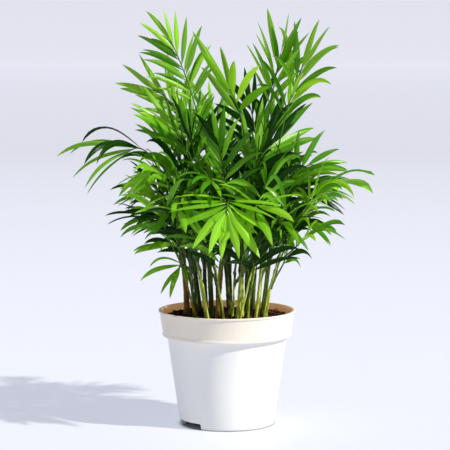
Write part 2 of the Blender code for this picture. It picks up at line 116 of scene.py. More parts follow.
# %% Plan the fronds
# Each frond: the cane, how far up it the stalk leaves, and the rib's tip in millimetres. Then the stalk's
# rise and its lean outwards, in shares of the frond's reach, and the bare share of the rib. Then the blade's
# turn about the rib and the spread of its lowest leaflets in degrees, and the leaflets' number, length in
# millimetres and droop
Frond = namedtuple("Frond", "cane share tip rise lean bare turn spread leaves leaf droop")
FRONDS = (
    Frond(6, 0.96, (-53, 12, 363), 0.58, 0.00, 0.62, 82, 44, 12, 45, 0.5),
    Frond(9, 0.96, (4, -30, 320), 0.60, -0.16, 0.74, 30, 50, 8, 66, 0.3),
    Frond(10, 0.96, (50, 0, 350), 0.58, -0.05, 0.64, -80, 36, 8, 54, 0.25),
    Frond(12, 0.92, (70, -16, 338), 0.68, 0.00, 0.60, -62, 38, 11, 58, 0.9),
    Frond(3, 0.60, (-58, -24, 240), 0.80, 0.20, 0.40, 20, 50, 10, 46, 1.1),
    Frond(3, 0.84, (-70, 32, 316), 0.78, -0.05, 0.50, 65, 46, 9, 46, 0.3),
    Frond(4, 0.95, (-52, -15, 282), 0.80, 0.00, 0.56, 55, 42, 8, 54, 0.4),
    Frond(0, 0.96, (-88, -12, 262), 0.96, 0.14, 0.78, 5, 30, 8, 74, 1.5),
    Frond(0, 0.80, (-66, 2, 214), 0.80, 0.25, 0.40, 20, 48, 11, 46, 1.3),
    Frond(4, 0.80, (-44, -46, 222), 0.95, 0.25, 0.50, 20, 55, 9, 58, 1.3),
    Frond(2, 0.92, (-42, -66, 210), 0.90, 0.45, 0.55, 15, 60, 9, 52, 1.0),
    Frond(5, 0.95, (-1, -88, 208), 0.85, 0.72, 0.66, 0, 80, 12, 52, 0.5),
    Frond(8, 0.95, (25, -82, 212), 0.85, 0.60, 0.66, -10, 66, 8, 48, 0.6),
    Frond(9, 0.72, (36, 12, 261), 0.60, -0.10, 0.60, -60, 36, 8, 58, 0.15),
    Frond(12, 0.76, (82, 6, 246), 0.85, 0.15, 0.45, -50, 44, 10, 42, 0.5),
    Frond(13, 0.96, (84, -22, 224), 0.82, 0.45, 0.56, -10, 34, 8, 62, 1.6),
    Frond(13, 0.80, (76, -40, 212), 0.75, 0.50, 0.45, -15, 52, 11, 50, 1.3),
    Frond(14, 0.95, (70, -30, 178), 0.60, 0.50, 0.30, -10, 48, 9, 50, 1.5),
    Frond(1, 0.95, (-52, -16, 172), 0.60, 0.50, 0.30, 15, 48, 8, 42, 1.2),
    Frond(1, 0.74, (-45, -24, 152), 0.60, 0.50, 0.40, 15, 48, 5, 40, 1.4),
    Frond(2, 0.95, (-72, -48, 240), 1.20, 0.05, 0.45, 20, 50, 12, 42, 1.1),
    Frond(4, 0.70, (-34, -42, 288), 0.60, 0.00, 0.46, 40, 42, 11, 48, 0.6),
    Frond(5, 0.78, (-8, -46, 270), 0.62, 0.00, 0.40, 10, 46, 12, 48, 0.7),
    Frond(8, 0.78, (36, -62, 236), 0.74, 0.15, 0.40, -15, 52, 12, 46, 1.2),
    Frond(6, 0.80, (-14, -64, 236), 0.74, 0.15, 0.40, 15, 52, 12, 46, 1.2),
    Frond(9, 0.60, (36, -40, 274), 0.60, 0.00, 0.42, -35, 44, 12, 48, 0.6),
    Frond(8, 0.60, (52, -68, 198), 0.80, 0.40, 0.40, -10, 52, 10, 46, 1.2),
    Frond(7, 0.96, (-14, 80, 290), 0.66, 0.00, 0.44, 0, 42, 12, 54, 0.6),
    Frond(7, 0.82, (16, 96, 242), 0.80, 0.20, 0.45, 10, 46, 11, 52, 1.1),
    Frond(11, 0.96, (46, 84, 276), 0.66, 0.10, 0.50, -10, 42, 11, 54, 0.6),
    Frond(11, 0.82, (76, 72, 214), 0.80, 0.25, 0.45, -10, 46, 11, 50, 1.1),
    Frond(15, 0.96, (-50, 86, 272), 0.66, 0.10, 0.50, 10, 42, 11, 54, 0.6),
    Frond(15, 0.82, (-72, 62, 214), 0.80, 0.25, 0.45, 10, 46, 11, 48, 1.1),
    Frond(7, 0.68, (-16, 90, 194), 0.80, 0.25, 0.45, 0, 48, 9, 50, 1.1),
    Frond(11, 0.68, (50, 86, 182), 0.80, 0.25, 0.45, 0, 48, 9, 48, 1.1),
    Frond(15, 0.68, (-48, 84, 182), 0.80, 0.25, 0.45, 0, 48, 9, 46, 1.1),
    Frond(10, 0.68, (22, 50, 300), 0.62, 0.00, 0.50, 20, 42, 11, 52, 0.5),
    Frond(16, 0.92, (82, 48, 224), 0.80, 0.25, 0.45, -10, 46, 11, 48, 1.1),
    Frond(3, 0.72, (-34, 56, 286), 0.62, 0.00, 0.50, 30, 42, 11, 50, 0.5),
    Frond(16, 0.74, (76, 22, 190), 0.80, 0.25, 0.45, -10, 48, 9, 46, 1.1),
)
print(len(FRONDS), "fronds with", sum(frond.leaves for frond in FRONDS), "leaflets planned")

# %% [markdown]
# The camera
#
# The photograph looks at the pot from a little above its rim through a long lens, so the pot's sides hardly
# converge. The camera stands at that height and pitch, as a model can only be compared from the same place.

# %% Add the camera
CAMERA_PLACE = (-0.0019, -1.9, 0.379)
CAMERA_PITCH = 5.7
LENS = 161.7
SENSOR = 36
FURTHEST_SEEN = 60
camera_data = bpy.data.cameras.new("camera")
camera_data.lens = LENS
camera_data.sensor_width = SENSOR
camera_data.clip_end = FURTHEST_SEEN
camera = bpy.data.objects.new("camera", camera_data)
camera.location = CAMERA_PLACE
camera.rotation_euler = (math.radians(90 - CAMERA_PITCH), 0, 0)
bpy.context.scene.collection.objects.link(camera)
bpy.context.scene.camera = camera
print("camera at", CAMERA_PLACE, "and", CAMERA_PITCH, "degrees down")

# %% [markdown]
# The floor
#
# A studio floor has no edge in view. The rim of a wide plane is extruded upwards and the fold is rounded by
# a bevel, so the floor runs up into a low wall on every side and each view ends on it.

# %% Add the floor
FLOOR_SIZE = 40
WALL_HEIGHT = 5
SWEEP_RADIUS = 4
SWEEP_SEGMENTS = 12
bpy.ops.object.select_all(action="DESELECT")
bpy.ops.mesh.primitive_plane_add(size=FLOOR_SIZE)
floor = bpy.context.object
floor.name = "floor"
bpy.ops.object.mode_set(mode="EDIT")
bpy.ops.mesh.select_all(action="SELECT")
bpy.ops.mesh.select_mode(type="EDGE")
bpy.ops.mesh.region_to_loop()
bpy.ops.mesh.extrude_region_move(TRANSFORM_OT_translate={"value": (0, 0, WALL_HEIGHT)})
bpy.ops.object.mode_set(mode="OBJECT")
sweep = floor.modifiers.new("sweep", "BEVEL")
sweep.width = SWEEP_RADIUS
sweep.segments = SWEEP_SEGMENTS
bpy.ops.object.modifier_apply(modifier="sweep")
bpy.ops.object.shade_smooth()
print("floor", len(floor.data.polygons), "faces")

# %% [markdown]
# The light
#
# The real plant stands in sunlight from the upper right, which gives the leaflets their bright faces and
# throws a soft shadow to the left. A sun lamp does this best, as its rays are parallel. A weak lamp in
# front and a pale room fill the shade.

# %% Add the lights
SUN_HEADING = math.radians(62)
SUN_HEIGHT = math.radians(42)
SUN_DISTANCE = 3
SUN_COLOUR = (1.0, 0.97, 0.92)
FILL_PLACE = (-1.2, -1.8, 1.3)
FILL_AIM = (0, 0, 0.2)
FILL_COLOUR = (0.93, 0.95, 1.0)
ROOM_COLOUR = (0.88, 0.88, 0.97)
ROOM_STRENGTH = 0.25


def add_light(name, kind, place, target, **settings):
    """A light at a place, turned towards its target."""
    data = bpy.data.lights.new(name, kind)
    for key, value in settings.items():
        setattr(data, key, value)
    light = bpy.data.objects.new(name, data)
    light.location = place
    light.rotation_euler = (Vector(target) - Vector(place)).to_track_quat("-Z", "Y").to_euler()
    bpy.context.scene.collection.objects.link(light)


sun_from = Vector(
    (
        math.sin(SUN_HEADING) * math.cos(SUN_HEIGHT),
        -math.cos(SUN_HEADING) * math.cos(SUN_HEIGHT),
        math.sin(SUN_HEIGHT),
    )
)
add_light("key", "SUN", sun_from * SUN_DISTANCE, (0, 0, 0), energy=3.8, angle=0.03, color=SUN_COLOUR)
add_light("front fill", "AREA", FILL_PLACE, FILL_AIM, energy=1.2, size=1.6, color=FILL_COLOUR)
world = bpy.data.worlds.new("room")
bpy.context.scene.world = world
world.use_nodes = True
room = world.node_tree.nodes["Background"]
room.inputs["Color"].default_value = (*ROOM_COLOUR, 1)
room.inputs["Strength"].default_value = ROOM_STRENGTH
bpy.context.scene.view_settings.view_transform = "Standard"
bpy.context.scene.view_settings.look = "Medium High Contrast"
print("sun from", [round(v, 2) for v in sun_from])

# %% [markdown]
# Helpers for shader nodes
#
# A material is a tree of nodes. By hand the nodes are dragged and joined in the shader editor. Here a few
# helpers add one node each and join it to what feeds it, so that a finish can be read as a few lines.

# %% Helpers for shader nodes
FLOAT, COLOUR, VECTOR = "NodeSocketFloat", "NodeSocketColor", "NodeSocketVector"
MIX_FACTOR, MIX_FIRST, MIX_SECOND, MIX_RESULT = 0, 6, 7, 2


def new_group(name, inputs, outputs):
    """A shader node group with its sockets, its input node and its output node."""
    group = bpy.data.node_groups.new(name, "ShaderNodeTree")
    for label, kind, value in inputs:
        socket = group.interface.new_socket(label, in_out="INPUT", socket_type=kind)
        if value is not None:
            socket.default_value = value
    for label, kind in outputs:
        group.interface.new_socket(label, in_out="OUTPUT", socket_type=kind)
    return group, group.nodes.new("NodeGroupInput"), group.nodes.new("NodeGroupOutput")


def add_noise(tree, vector, scale, detail=3.0, rough=0.55):
    """A noise texture on a vector. Its scale is a number or a socket."""
    node = tree.nodes.new("ShaderNodeTexNoise")
    node.inputs["Detail"].default_value = detail
    node.inputs["Roughness"].default_value = rough
    tree.links.new(vector, node.inputs["Vector"])
    if isinstance(scale, (int, float)):
        node.inputs["Scale"].default_value = scale
    else:
        tree.links.new(scale, node.inputs["Scale"])
    return node.outputs["Fac"]


def add_ramp(tree, value, low, high):
    """A value stretched so that low becomes 0 and high becomes 1."""
    node = tree.nodes.new("ShaderNodeMapRange")
    node.inputs["From Min"].default_value = low
    node.inputs["From Max"].default_value = high
    tree.links.new(value, node.inputs["Value"])
    return node.outputs["Result"]


def add_mix(tree, factor, first, second):
    """Two colours mixed by a factor. Each is a colour or a socket."""
    node = tree.nodes.new("ShaderNodeMix")
    node.data_type = "RGBA"
    for number, value in ((MIX_FACTOR, factor), (MIX_FIRST, first), (MIX_SECOND, second)):
        socket = node.inputs[number]
        if isinstance(value, (int, float)):
            socket.default_value = value
        elif isinstance(value, tuple):
            socket.default_value = (*value, 1)
        else:
            tree.links.new(value, socket)
    return node.outputs[MIX_RESULT]


def add_math(tree, operation, first, second=0.0):
    """One sum on sockets or numbers."""
    node = tree.nodes.new("ShaderNodeMath")
    node.operation = operation
    for socket, value in zip(node.inputs, (first, second)):
        if isinstance(value, (int, float)):
            socket.default_value = value
        else:
            tree.links.new(value, socket)
    return node.outputs[0]


print("nodes are joined by", [made.__name__ for made in (new_group, add_noise, add_ramp, add_mix, add_math)])

# %% [markdown]
# Mottle and grain
#
# Plastic, peat and plant skins all drift a little in colour and have a fine surface. Both effects are built
# once as node groups, and each material sets their inputs. Mottle mixes two colours in slow patches with
# fine flecks. Grain gives a height for relief and the roughness that goes with it.

# %% Mottle and grain
PATCH_EDGES = (0.34, 0.66)
FLECK_EDGES = (0.3, 0.7)
FINE_DETAIL = 4.0
SMEAR_SCALE = 18.0


def make_mottle():
    """A colour that drifts between two others in slow patches with fine flecks."""
    group, given, made = new_group(
        "Mottle",
        [
            ("Vector", VECTOR, None),
            ("Colour A", COLOUR, None),
            ("Colour B", COLOUR, None),
            ("Patch scale", FLOAT, 20.0),
            ("Fleck scale", FLOAT, 300.0),
            ("Fleck share", FLOAT, 0.3),
        ],
        [("Colour", COLOUR), ("Mask", FLOAT)],
    )
    vector = given.outputs["Vector"]
    patch = add_ramp(group, add_noise(group, vector, given.outputs["Patch scale"]), *PATCH_EDGES)
    fleck = add_ramp(group, add_noise(group, vector, given.outputs["Fleck scale"], FINE_DETAIL), *FLECK_EDGES)
    share = add_math(group, "MULTIPLY", fleck, given.outputs["Fleck share"])
    rest = add_math(group, "SUBTRACT", 1.0, given.outputs["Fleck share"])
    mask = add_math(group, "ADD", add_math(group, "MULTIPLY", patch, rest), share)
    mixed = add_mix(group, mask, given.outputs["Colour A"], given.outputs["Colour B"])
    group.links.new(mixed, made.inputs["Colour"])
    group.links.new(mask, made.inputs["Mask"])
    return group


def make_grain():
    """A fine surface height with the roughness that goes with it."""
    group, given, made = new_group(
        "Grain",
        [
            ("Vector", VECTOR, None),
            ("Scale", FLOAT, 400.0),
            ("Rough low", FLOAT, 0.3),
            ("Rough high", FLOAT, 0.5),
        ],
        [("Height", FLOAT), ("Roughness", FLOAT)],
    )
    fine = add_noise(group, given.outputs["Vector"], given.outputs["Scale"], FINE_DETAIL)
    slow = add_ramp(group, add_noise(group, given.outputs["Vector"], SMEAR_SCALE), *FLECK_EDGES)
    spread = add_math(group, "SUBTRACT", given.outputs["Rough high"], given.outputs["Rough low"])
    rough = add_math(group, "ADD", given.outputs["Rough low"], add_math(group, "MULTIPLY", slow, spread))
    group.links.new(fine, made.inputs["Height"])
    group.links.new(rough, made.inputs["Roughness"])
    return group


mottle_group = make_mottle()
grain_group = make_grain()
print("groups", mottle_group.name, "and", grain_group.name)

# %% [markdown]
# Veins
#
# A palm leaflet has a pale midrib and fine veins that run along it. They have to follow each leaflet
# however it bends, so this group reads the leaflet's own map, in which X runs across the blade and Y along
# it.

# %% Veins
MIDRIB_HALF_WIDTH = 0.06
VEIN_COUNT = 9.0


def make_veins():
    """A leaflet's pattern from its own map: a midrib and faint veins that run along the blade."""
    group, given, made = new_group(
        "Veins",
        [("Map", VECTOR, None), ("Vein count", FLOAT, VEIN_COUNT)],
        [("Midrib", FLOAT), ("Veins", FLOAT)],
    )
    split = group.nodes.new("ShaderNodeSeparateXYZ")
    group.links.new(given.outputs["Map"], split.inputs[0])
    across = add_math(group, "ABSOLUTE", add_math(group, "SUBTRACT", split.outputs["X"], 0.5))
    midrib = group.nodes.new("ShaderNodeMapRange")
    midrib.interpolation_type = "SMOOTHSTEP"
    midrib.inputs["From Min"].default_value = MIDRIB_HALF_WIDTH
    midrib.inputs["From Max"].default_value = 0.0
    group.links.new(across, midrib.inputs["Value"])
    counted = add_math(group, "MULTIPLY", split.outputs["X"], given.outputs["Vein count"])
    turns = add_math(group, "MULTIPLY", counted, 2 * math.pi)
    wave = add_math(group, "ADD", add_math(group, "MULTIPLY", add_math(group, "COSINE", turns), 0.5), 0.5)
    group.links.new(midrib.outputs["Result"], made.inputs["Midrib"])
    group.links.new(wave, made.inputs["Veins"])
    return group


veins_group = make_veins()
print("group", veins_group.name)

# %% [markdown]
# Mottled skins
#
# The mix, the bark, the canes, the stalks and the sheaths are all uneven, grained skins, so one function
# makes them from the two groups. A cane's colour runs in streaks along it, and for that the pattern is
# stretched upwards by a Mapping node.

# %% Mottled skins
GRAIN_STRENGTH = 0.5


def new_material(name, roughness, gloss=0.5):
    """A material with its shader, and how rough and how glossy it is all over."""
    made = bpy.data.materials.new(name)
    made.use_nodes = True
    shader = made.node_tree.nodes["Principled BSDF"]
    shader.inputs["Roughness"].default_value = roughness
    shader.inputs["Specular IOR Level"].default_value = gloss
    return made, made.node_tree, shader


def use_group(tree, group, vector_label, vector, **values):
    """A group in a material, fed by a vector, with its other inputs set."""
    node = tree.nodes.new("ShaderNodeGroup")
    node.node_tree = group
    tree.links.new(vector, node.inputs[vector_label])
    for label, value in values.items():
        socket = node.inputs[label.replace("_", " ")]
        socket.default_value = (*value, 1) if isinstance(value, tuple) else value
    return node


def object_vector(tree):
    """The piece's own coordinates."""
    return tree.nodes.new("ShaderNodeTexCoord").outputs["Object"]


def add_bump(tree, shader, height, strength, distance):
    """Relief on a shader from a height."""
    bump = tree.nodes.new("ShaderNodeBump")
    bump.inputs["Strength"].default_value = strength
    bump.inputs["Distance"].default_value = distance
    tree.links.new(height, bump.inputs["Height"])
    tree.links.new(bump.outputs["Normal"], shader.inputs["Normal"])


def surface_material(name, first, second, patch, fleck, rough, grain, relief, along=1.0, gloss=0.5):
    """A mottled, grained surface. Along is how fast the pattern runs upwards, so under 1 it makes streaks."""
    made, tree, shader = new_material(name, rough[0], gloss)
    mapping = tree.nodes.new("ShaderNodeMapping")
    mapping.inputs["Scale"].default_value = (1, 1, along)
    tree.links.new(object_vector(tree), mapping.inputs["Vector"])
    vector = mapping.outputs["Vector"]
    colours = use_group(
        tree, mottle_group, "Vector", vector,
        Colour_A=first, Colour_B=second, Patch_scale=patch, Fleck_scale=fleck,
    )
    low, high = rough
    grains = use_group(tree, grain_group, "Vector", vector, Scale=grain, Rough_low=low, Rough_high=high)
    tree.links.new(colours.outputs["Colour"], shader.inputs["Base Color"])
    tree.links.new(grains.outputs["Roughness"], shader.inputs["Roughness"])
    add_bump(tree, shader, grains.outputs["Height"], GRAIN_STRENGTH, relief)
    return made


mix_brown = surface_material(
    "potting mix", (0.012, 0.005, 0.003), (0.062, 0.023, 0.009),
    patch=160, fleck=900, rough=(0.8, 0.98), grain=1400, relief=0.6 * MM, gloss=0.15,
)
chip_brown = surface_material(
    "bark crumbs", (0.085, 0.028, 0.010), (0.23, 0.085, 0.032),
    patch=120, fleck=900, rough=(0.7, 0.95), grain=1600, relief=0.4 * MM,
)
cane_green = surface_material(
    "cane skin", (0.009, 0.020, 0.002), (0.105, 0.165, 0.010),
    patch=260, fleck=900, rough=(0.38, 0.55), grain=1200, relief=0.1 * MM, along=0.14, gloss=0.25,
)
# Lime skin for the canes in front: partly the paler green of young canes, partly painted sunlight
cane_lime = surface_material(
    "young and sunlit cane skin", (0.085, 0.155, 0.008), (0.680, 0.760, 0.130),
    patch=240, fleck=900, rough=(0.34, 0.5), grain=1200, relief=0.1 * MM, along=0.14, gloss=0.3,
)
cane_brown = surface_material(
    "old cane skin", (0.022, 0.020, 0.003), (0.360, 0.215, 0.045),
    patch=220, fleck=800, rough=(0.5, 0.7), grain=1200, relief=0.15 * MM, along=0.16, gloss=0.2,
)
stalk_green = surface_material(
    "stalk skin", (0.032, 0.092, 0.007), (0.090, 0.180, 0.018),
    patch=120, fleck=700, rough=(0.34, 0.5), grain=1200, relief=0.08 * MM, along=0.4,
)
sheath_green = surface_material(
    "sheath skin", (0.050, 0.085, 0.012), (0.190, 0.230, 0.050),
    patch=200, fleck=800, rough=(0.4, 0.6), grain=1200, relief=0.1 * MM, along=0.2,
)
print("skins", [made.name for made in bpy.data.materials])

# %% [markdown]
# Leaflets
#
# A leaflet is waxy, so it shines, and thin, so light comes through it from behind. The Principled shader
# gives the first and a Translucent shader the second, and the two are mixed. There are five tints, and each
# frond is given its own. Young fronds are lime and old ones deep green, and the tints carry painted light
# too: lime and fresh green stand partly for sunlit leaflets, and deep green is painted shade in the crown.

# %% Leaflet materials
LEAF_ROUGHNESS = 0.27
LEAF_PATCHES = 28.0
LEAF_FLECKS = 700.0
PATCH_SHADE = 0.78
MIDRIB_GAIN = 1.5
MIDRIB_LIFT = 0.02
MIDRIB_SHARE = 0.55
VEIN_STRENGTH = 0.35
VEIN_RELIEF = 0.2 * MM
LIT_THROUGH = 0.32

# Lime and fresh green are partly painted sunlight, and deep green is painted shade inside the crown
# Each tint: the upper face's colour, the colour of light through the blade, and the gloss
LEAF_TINTS = {
    "lime": ((0.290, 0.630, 0.030), (0.56, 0.90, 0.06), 0.55),
    "fresh": ((0.190, 0.470, 0.020), (0.42, 0.76, 0.05), 0.55),
    "leaf": ((0.078, 0.264, 0.008), (0.23, 0.54, 0.02), 0.42),
    "deep": ((0.009, 0.050, 0.002), (0.035, 0.14, 0.004), 0.22),
    "yellow": ((0.200, 0.450, 0.035), (0.46, 0.70, 0.06), 0.4),
}


def leaf_material(name, upper, glow, gloss):
    """A leaflet's skin: waxy, with a paler midrib, and lit through from behind."""
    made, tree, shader = new_material(name, LEAF_ROUGHNESS, gloss)
    vector = object_vector(tree)
    darker = tuple(value * PATCH_SHADE for value in upper)
    colours = use_group(
        tree, mottle_group, "Vector", vector,
        Colour_A=upper, Colour_B=darker, Patch_scale=LEAF_PATCHES, Fleck_scale=LEAF_FLECKS,
    )
    leaf_map = tree.nodes.new("ShaderNodeUVMap")
    leaf_map.uv_map = "blade"
    veins = use_group(tree, veins_group, "Map", leaf_map.outputs["UV"])
    paler = tuple(min(1.0, value * MIDRIB_GAIN + MIDRIB_LIFT) for value in upper)
    on_midrib = add_math(tree, "MULTIPLY", veins.outputs["Midrib"], MIDRIB_SHARE)
    lined = add_mix(tree, on_midrib, colours.outputs["Colour"], paler)
    tree.links.new(lined, shader.inputs["Base Color"])
    height = add_math(tree, "ADD", veins.outputs["Veins"], veins.outputs["Midrib"])
    add_bump(tree, shader, height, VEIN_STRENGTH, VEIN_RELIEF)
    through = tree.nodes.new("ShaderNodeBsdfTranslucent")
    through.inputs["Color"].default_value = (*glow, 1)
    mixed = tree.nodes.new("ShaderNodeMixShader")
    mixed.inputs["Fac"].default_value = LIT_THROUGH
    output = tree.nodes["Material Output"]
    tree.links.new(shader.outputs[0], mixed.inputs[1])
    tree.links.new(through.outputs[0], mixed.inputs[2])
    tree.links.new(mixed.outputs[0], output.inputs["Surface"])
    return made


leaf_skins = {name: leaf_material("leaflet " + name, *colours) for name, colours in LEAF_TINTS.items()}
print("tints", list(leaf_skins))

# %% [markdown]
# The pot's plastic
#
# The pot is white, with a creamier rim band, and looks tan inside above the mix, where sunlight comes
# through the thin wall. The three colours are told apart by height and by the distance from the pot's axis,
# which needs no map, and a faint emission stands for the light in the wall.

# %% Pot plastic
BODY_WHITE = ((0.775, 0.78, 0.758), (0.745, 0.75, 0.725))
BAND_CREAM = ((0.76, 0.71, 0.62), (0.71, 0.65, 0.55))
INNER_TAN = (0.95, 0.66, 0.33)
WALL_GLOW = (0.17, 0.085, 0.035)
BODY_PATCHES = 9.0
BAND_PATCHES = 14.0
PLASTIC_ROUGHNESS = (0.33, 0.45)
PLASTIC_GRAIN = 900.0
PLASTIC_STRENGTH = 0.4
PLASTIC_RELIEF = 0.04 * MM
COLOUR_EDGE = 0.4 * MM
WALL_MIDDLE = 0.6


def from_axis(tree, split):
    """The distance from the pot's axis, from separated coordinates."""
    across = add_math(tree, "POWER", split.outputs["X"], 2.0)
    along = add_math(tree, "POWER", split.outputs["Y"], 2.0)
    return add_math(tree, "SQRT", add_math(tree, "ADD", across, along))


def pot_material():
    """White plastic with a creamier rim band, and tan inside, where light comes through the thin wall."""
    made, tree, shader = new_material("pot plastic", PLASTIC_ROUGHNESS[0])
    vector = object_vector(tree)
    body = use_group(
        tree, mottle_group, "Vector", vector,
        Colour_A=BODY_WHITE[0], Colour_B=BODY_WHITE[1], Patch_scale=BODY_PATCHES,
    )
    band = use_group(
        tree, mottle_group, "Vector", vector,
        Colour_A=BAND_CREAM[0], Colour_B=BAND_CREAM[1], Patch_scale=BAND_PATCHES,
    )
    low, high = PLASTIC_ROUGHNESS
    grains = use_group(
        tree, grain_group, "Vector", vector,
        Scale=PLASTIC_GRAIN, Rough_low=low, Rough_high=high,
    )
    split = tree.nodes.new("ShaderNodeSeparateXYZ")
    tree.links.new(vector, split.inputs[0])
    on_band = add_ramp(tree, split.outputs["Z"], BAND_FOOT - COLOUR_EDGE, BAND_FOOT + COLOUR_EDGE)
    outer = add_mix(tree, on_band, body.outputs["Colour"], band.outputs["Colour"])
    slope = (LIP_RADIUS - BAND_FOOT_RADIUS) / BAND_HEIGHT
    rise = add_math(tree, "SUBTRACT", split.outputs["Z"], BAND_FOOT)
    widening = add_math(tree, "MULTIPLY", rise, slope)
    wall_middle = add_math(tree, "ADD", widening, BAND_FOOT_RADIUS - WALL * WALL_MIDDLE)
    inwards = add_math(tree, "SUBTRACT", wall_middle, from_axis(tree, split))
    inside = add_math(tree, "MULTIPLY", add_ramp(tree, inwards, 0.0, COLOUR_EDGE), on_band)
    coloured = add_mix(tree, inside, outer, INNER_TAN)
    tree.links.new(coloured, shader.inputs["Base Color"])
    shader.inputs["Emission Color"].default_value = (*WALL_GLOW, 1)
    tree.links.new(inside, shader.inputs["Emission Strength"])
    tree.links.new(grains.outputs["Roughness"], shader.inputs["Roughness"])
    add_bump(tree, shader, grains.outputs["Height"], PLASTIC_STRENGTH, PLASTIC_RELIEF)
    return made


pot_plastic = pot_material()
print("material", pot_plastic.name)

# %% [markdown]
# The floor's paint
#
# The ground under the real plant stays bright even in its shadow, because light reaches it from all sides.
# A little emission stands for that light. It grows far from the pot, so that every view has a bright
# ground, and stops at the pot's foot, so that the notches stay dark.

# %% Floor paint
FLOOR_ROUGHNESS = 0.55
FLOOR_TONES = ((0.36, 0.362, 0.375), (0.35, 0.352, 0.365))
FLOOR_PATCHES = 2.0
FLOOR_FLECKS = 60.0
WALL_TONE = (0.20, 0.19, 0.185)
WALL_FADE = (0.3, 4.0)
GLOW_COLOUR = (0.77, 0.81, 0.96)
FLOOR_GLOW = 0.49
GLOW_GROWTH = (2.5, 14.0)
FOOT_SHADE = (FOOT_RADIUS - 2 * MM, FOOT_RADIUS + 3 * MM)


def floor_material():
    """A pale floor that darkens a shade towards the back wall and glows faintly away from the pot's foot."""
    made, tree, shader = new_material("pale floor", FLOOR_ROUGHNESS)
    vector = object_vector(tree)
    near = use_group(
        tree, mottle_group, "Vector", vector,
        Colour_A=FLOOR_TONES[0], Colour_B=FLOOR_TONES[1], Patch_scale=FLOOR_PATCHES, Fleck_scale=FLOOR_FLECKS,
    )
    split = tree.nodes.new("ShaderNodeSeparateXYZ")
    tree.links.new(vector, split.inputs[0])
    away = add_ramp(tree, split.outputs["Y"], *WALL_FADE)
    tree.links.new(add_mix(tree, away, near.outputs["Colour"], WALL_TONE), shader.inputs["Base Color"])
    shader.inputs["Emission Color"].default_value = (*GLOW_COLOUR, 1)
    aside = add_math(tree, "ABSOLUTE", split.outputs["X"])
    outward = add_math(tree, "MAXIMUM", aside, add_math(tree, "MULTIPLY", split.outputs["Y"], -1.0))
    beyond_pot = add_ramp(tree, from_axis(tree, split), *FOOT_SHADE)
    open_glow = add_math(tree, "MULTIPLY", beyond_pot, FLOOR_GLOW)
    glow = add_math(tree, "MAXIMUM", add_ramp(tree, outward, *GLOW_GROWTH), open_glow)
    tree.links.new(glow, shader.inputs["Emission Strength"])
    return made


floor.data.materials.append(floor_material())
print("materials", len(bpy.data.materials))

# %% [markdown]
# Helpers for modelling
#
# A pot, like a cup, can be drawn as an outline and spun, or pulled up from its foot as a face that is
# extruded and scaled ring by ring. The second way is used, because each ring is then one radius and one
# height.

# %% Helpers for modelling


def start_circle(name, radius, z, sides):
    """A filled circle in edit mode with its face selected."""
    bpy.ops.object.select_all(action="DESELECT")
    bpy.ops.mesh.primitive_circle_add(vertices=sides, radius=radius, fill_type="NGON", location=(0, 0, z))
    made = bpy.context.object
    made.name = name
    bpy.ops.object.transform_apply(location=True)
    bpy.ops.object.mode_set(mode="EDIT")
    bpy.ops.mesh.select_all(action="SELECT")
    return made


def extrude_rings(rings):
    """Extrudes the selected face through rings of radius and height, starting from the first."""
    for (radius, z), (wider, higher) in zip(rings, rings[1:]):
        bpy.ops.mesh.extrude_region_move(TRANSFORM_OT_translate={"value": (0, 0, higher - z)})
        scale = wider / radius
        bpy.ops.transform.resize(value=(scale, scale, 1), center_override=(0, 0, higher))


def finish_edit():
    """Turns every face outwards and leaves edit mode."""
    bpy.ops.mesh.select_all(action="SELECT")
    bpy.ops.mesh.normals_make_consistent(inside=False)
    bpy.ops.object.mode_set(mode="OBJECT")


def pick(obj):
    """Makes one object the active one and the only one selected."""
    bpy.ops.object.select_all(action="DESELECT")
    bpy.context.view_layer.objects.active = obj
    obj.select_set(True)


def apply_modifier(obj, kind, **settings):
    """One modifier, set and applied."""
    pick(obj)
    modifier = obj.modifiers.new(kind, kind)
    for key, value in settings.items():
        setattr(modifier, key, value)
    bpy.ops.object.modifier_apply(modifier=modifier.name)


def shade(obj, degrees):
    """Smooth shading that keeps the edges sharper than an angle."""
    pick(obj)
    bpy.ops.object.shade_smooth_by_angle(angle=math.radians(degrees))


def place(obj, node_names, slot, *skins):
    """Gives a piece its materials and its body, and hides the CAD nodes that it stands for. Its slot is not
    used.
    """
    for skin in skins:
        obj.data.materials.append(skin)
    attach(obj, "root")
    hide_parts(*node_names)


print("pieces ride the body root and sit at the origin")

# %% [markdown]
# The pot
#
# The profile starts at the recessed underside, goes round the foot ring and up the tapered body, steps out
# under the rim band with a small bead, turns over the lip and comes down the inside to the pot's floor.

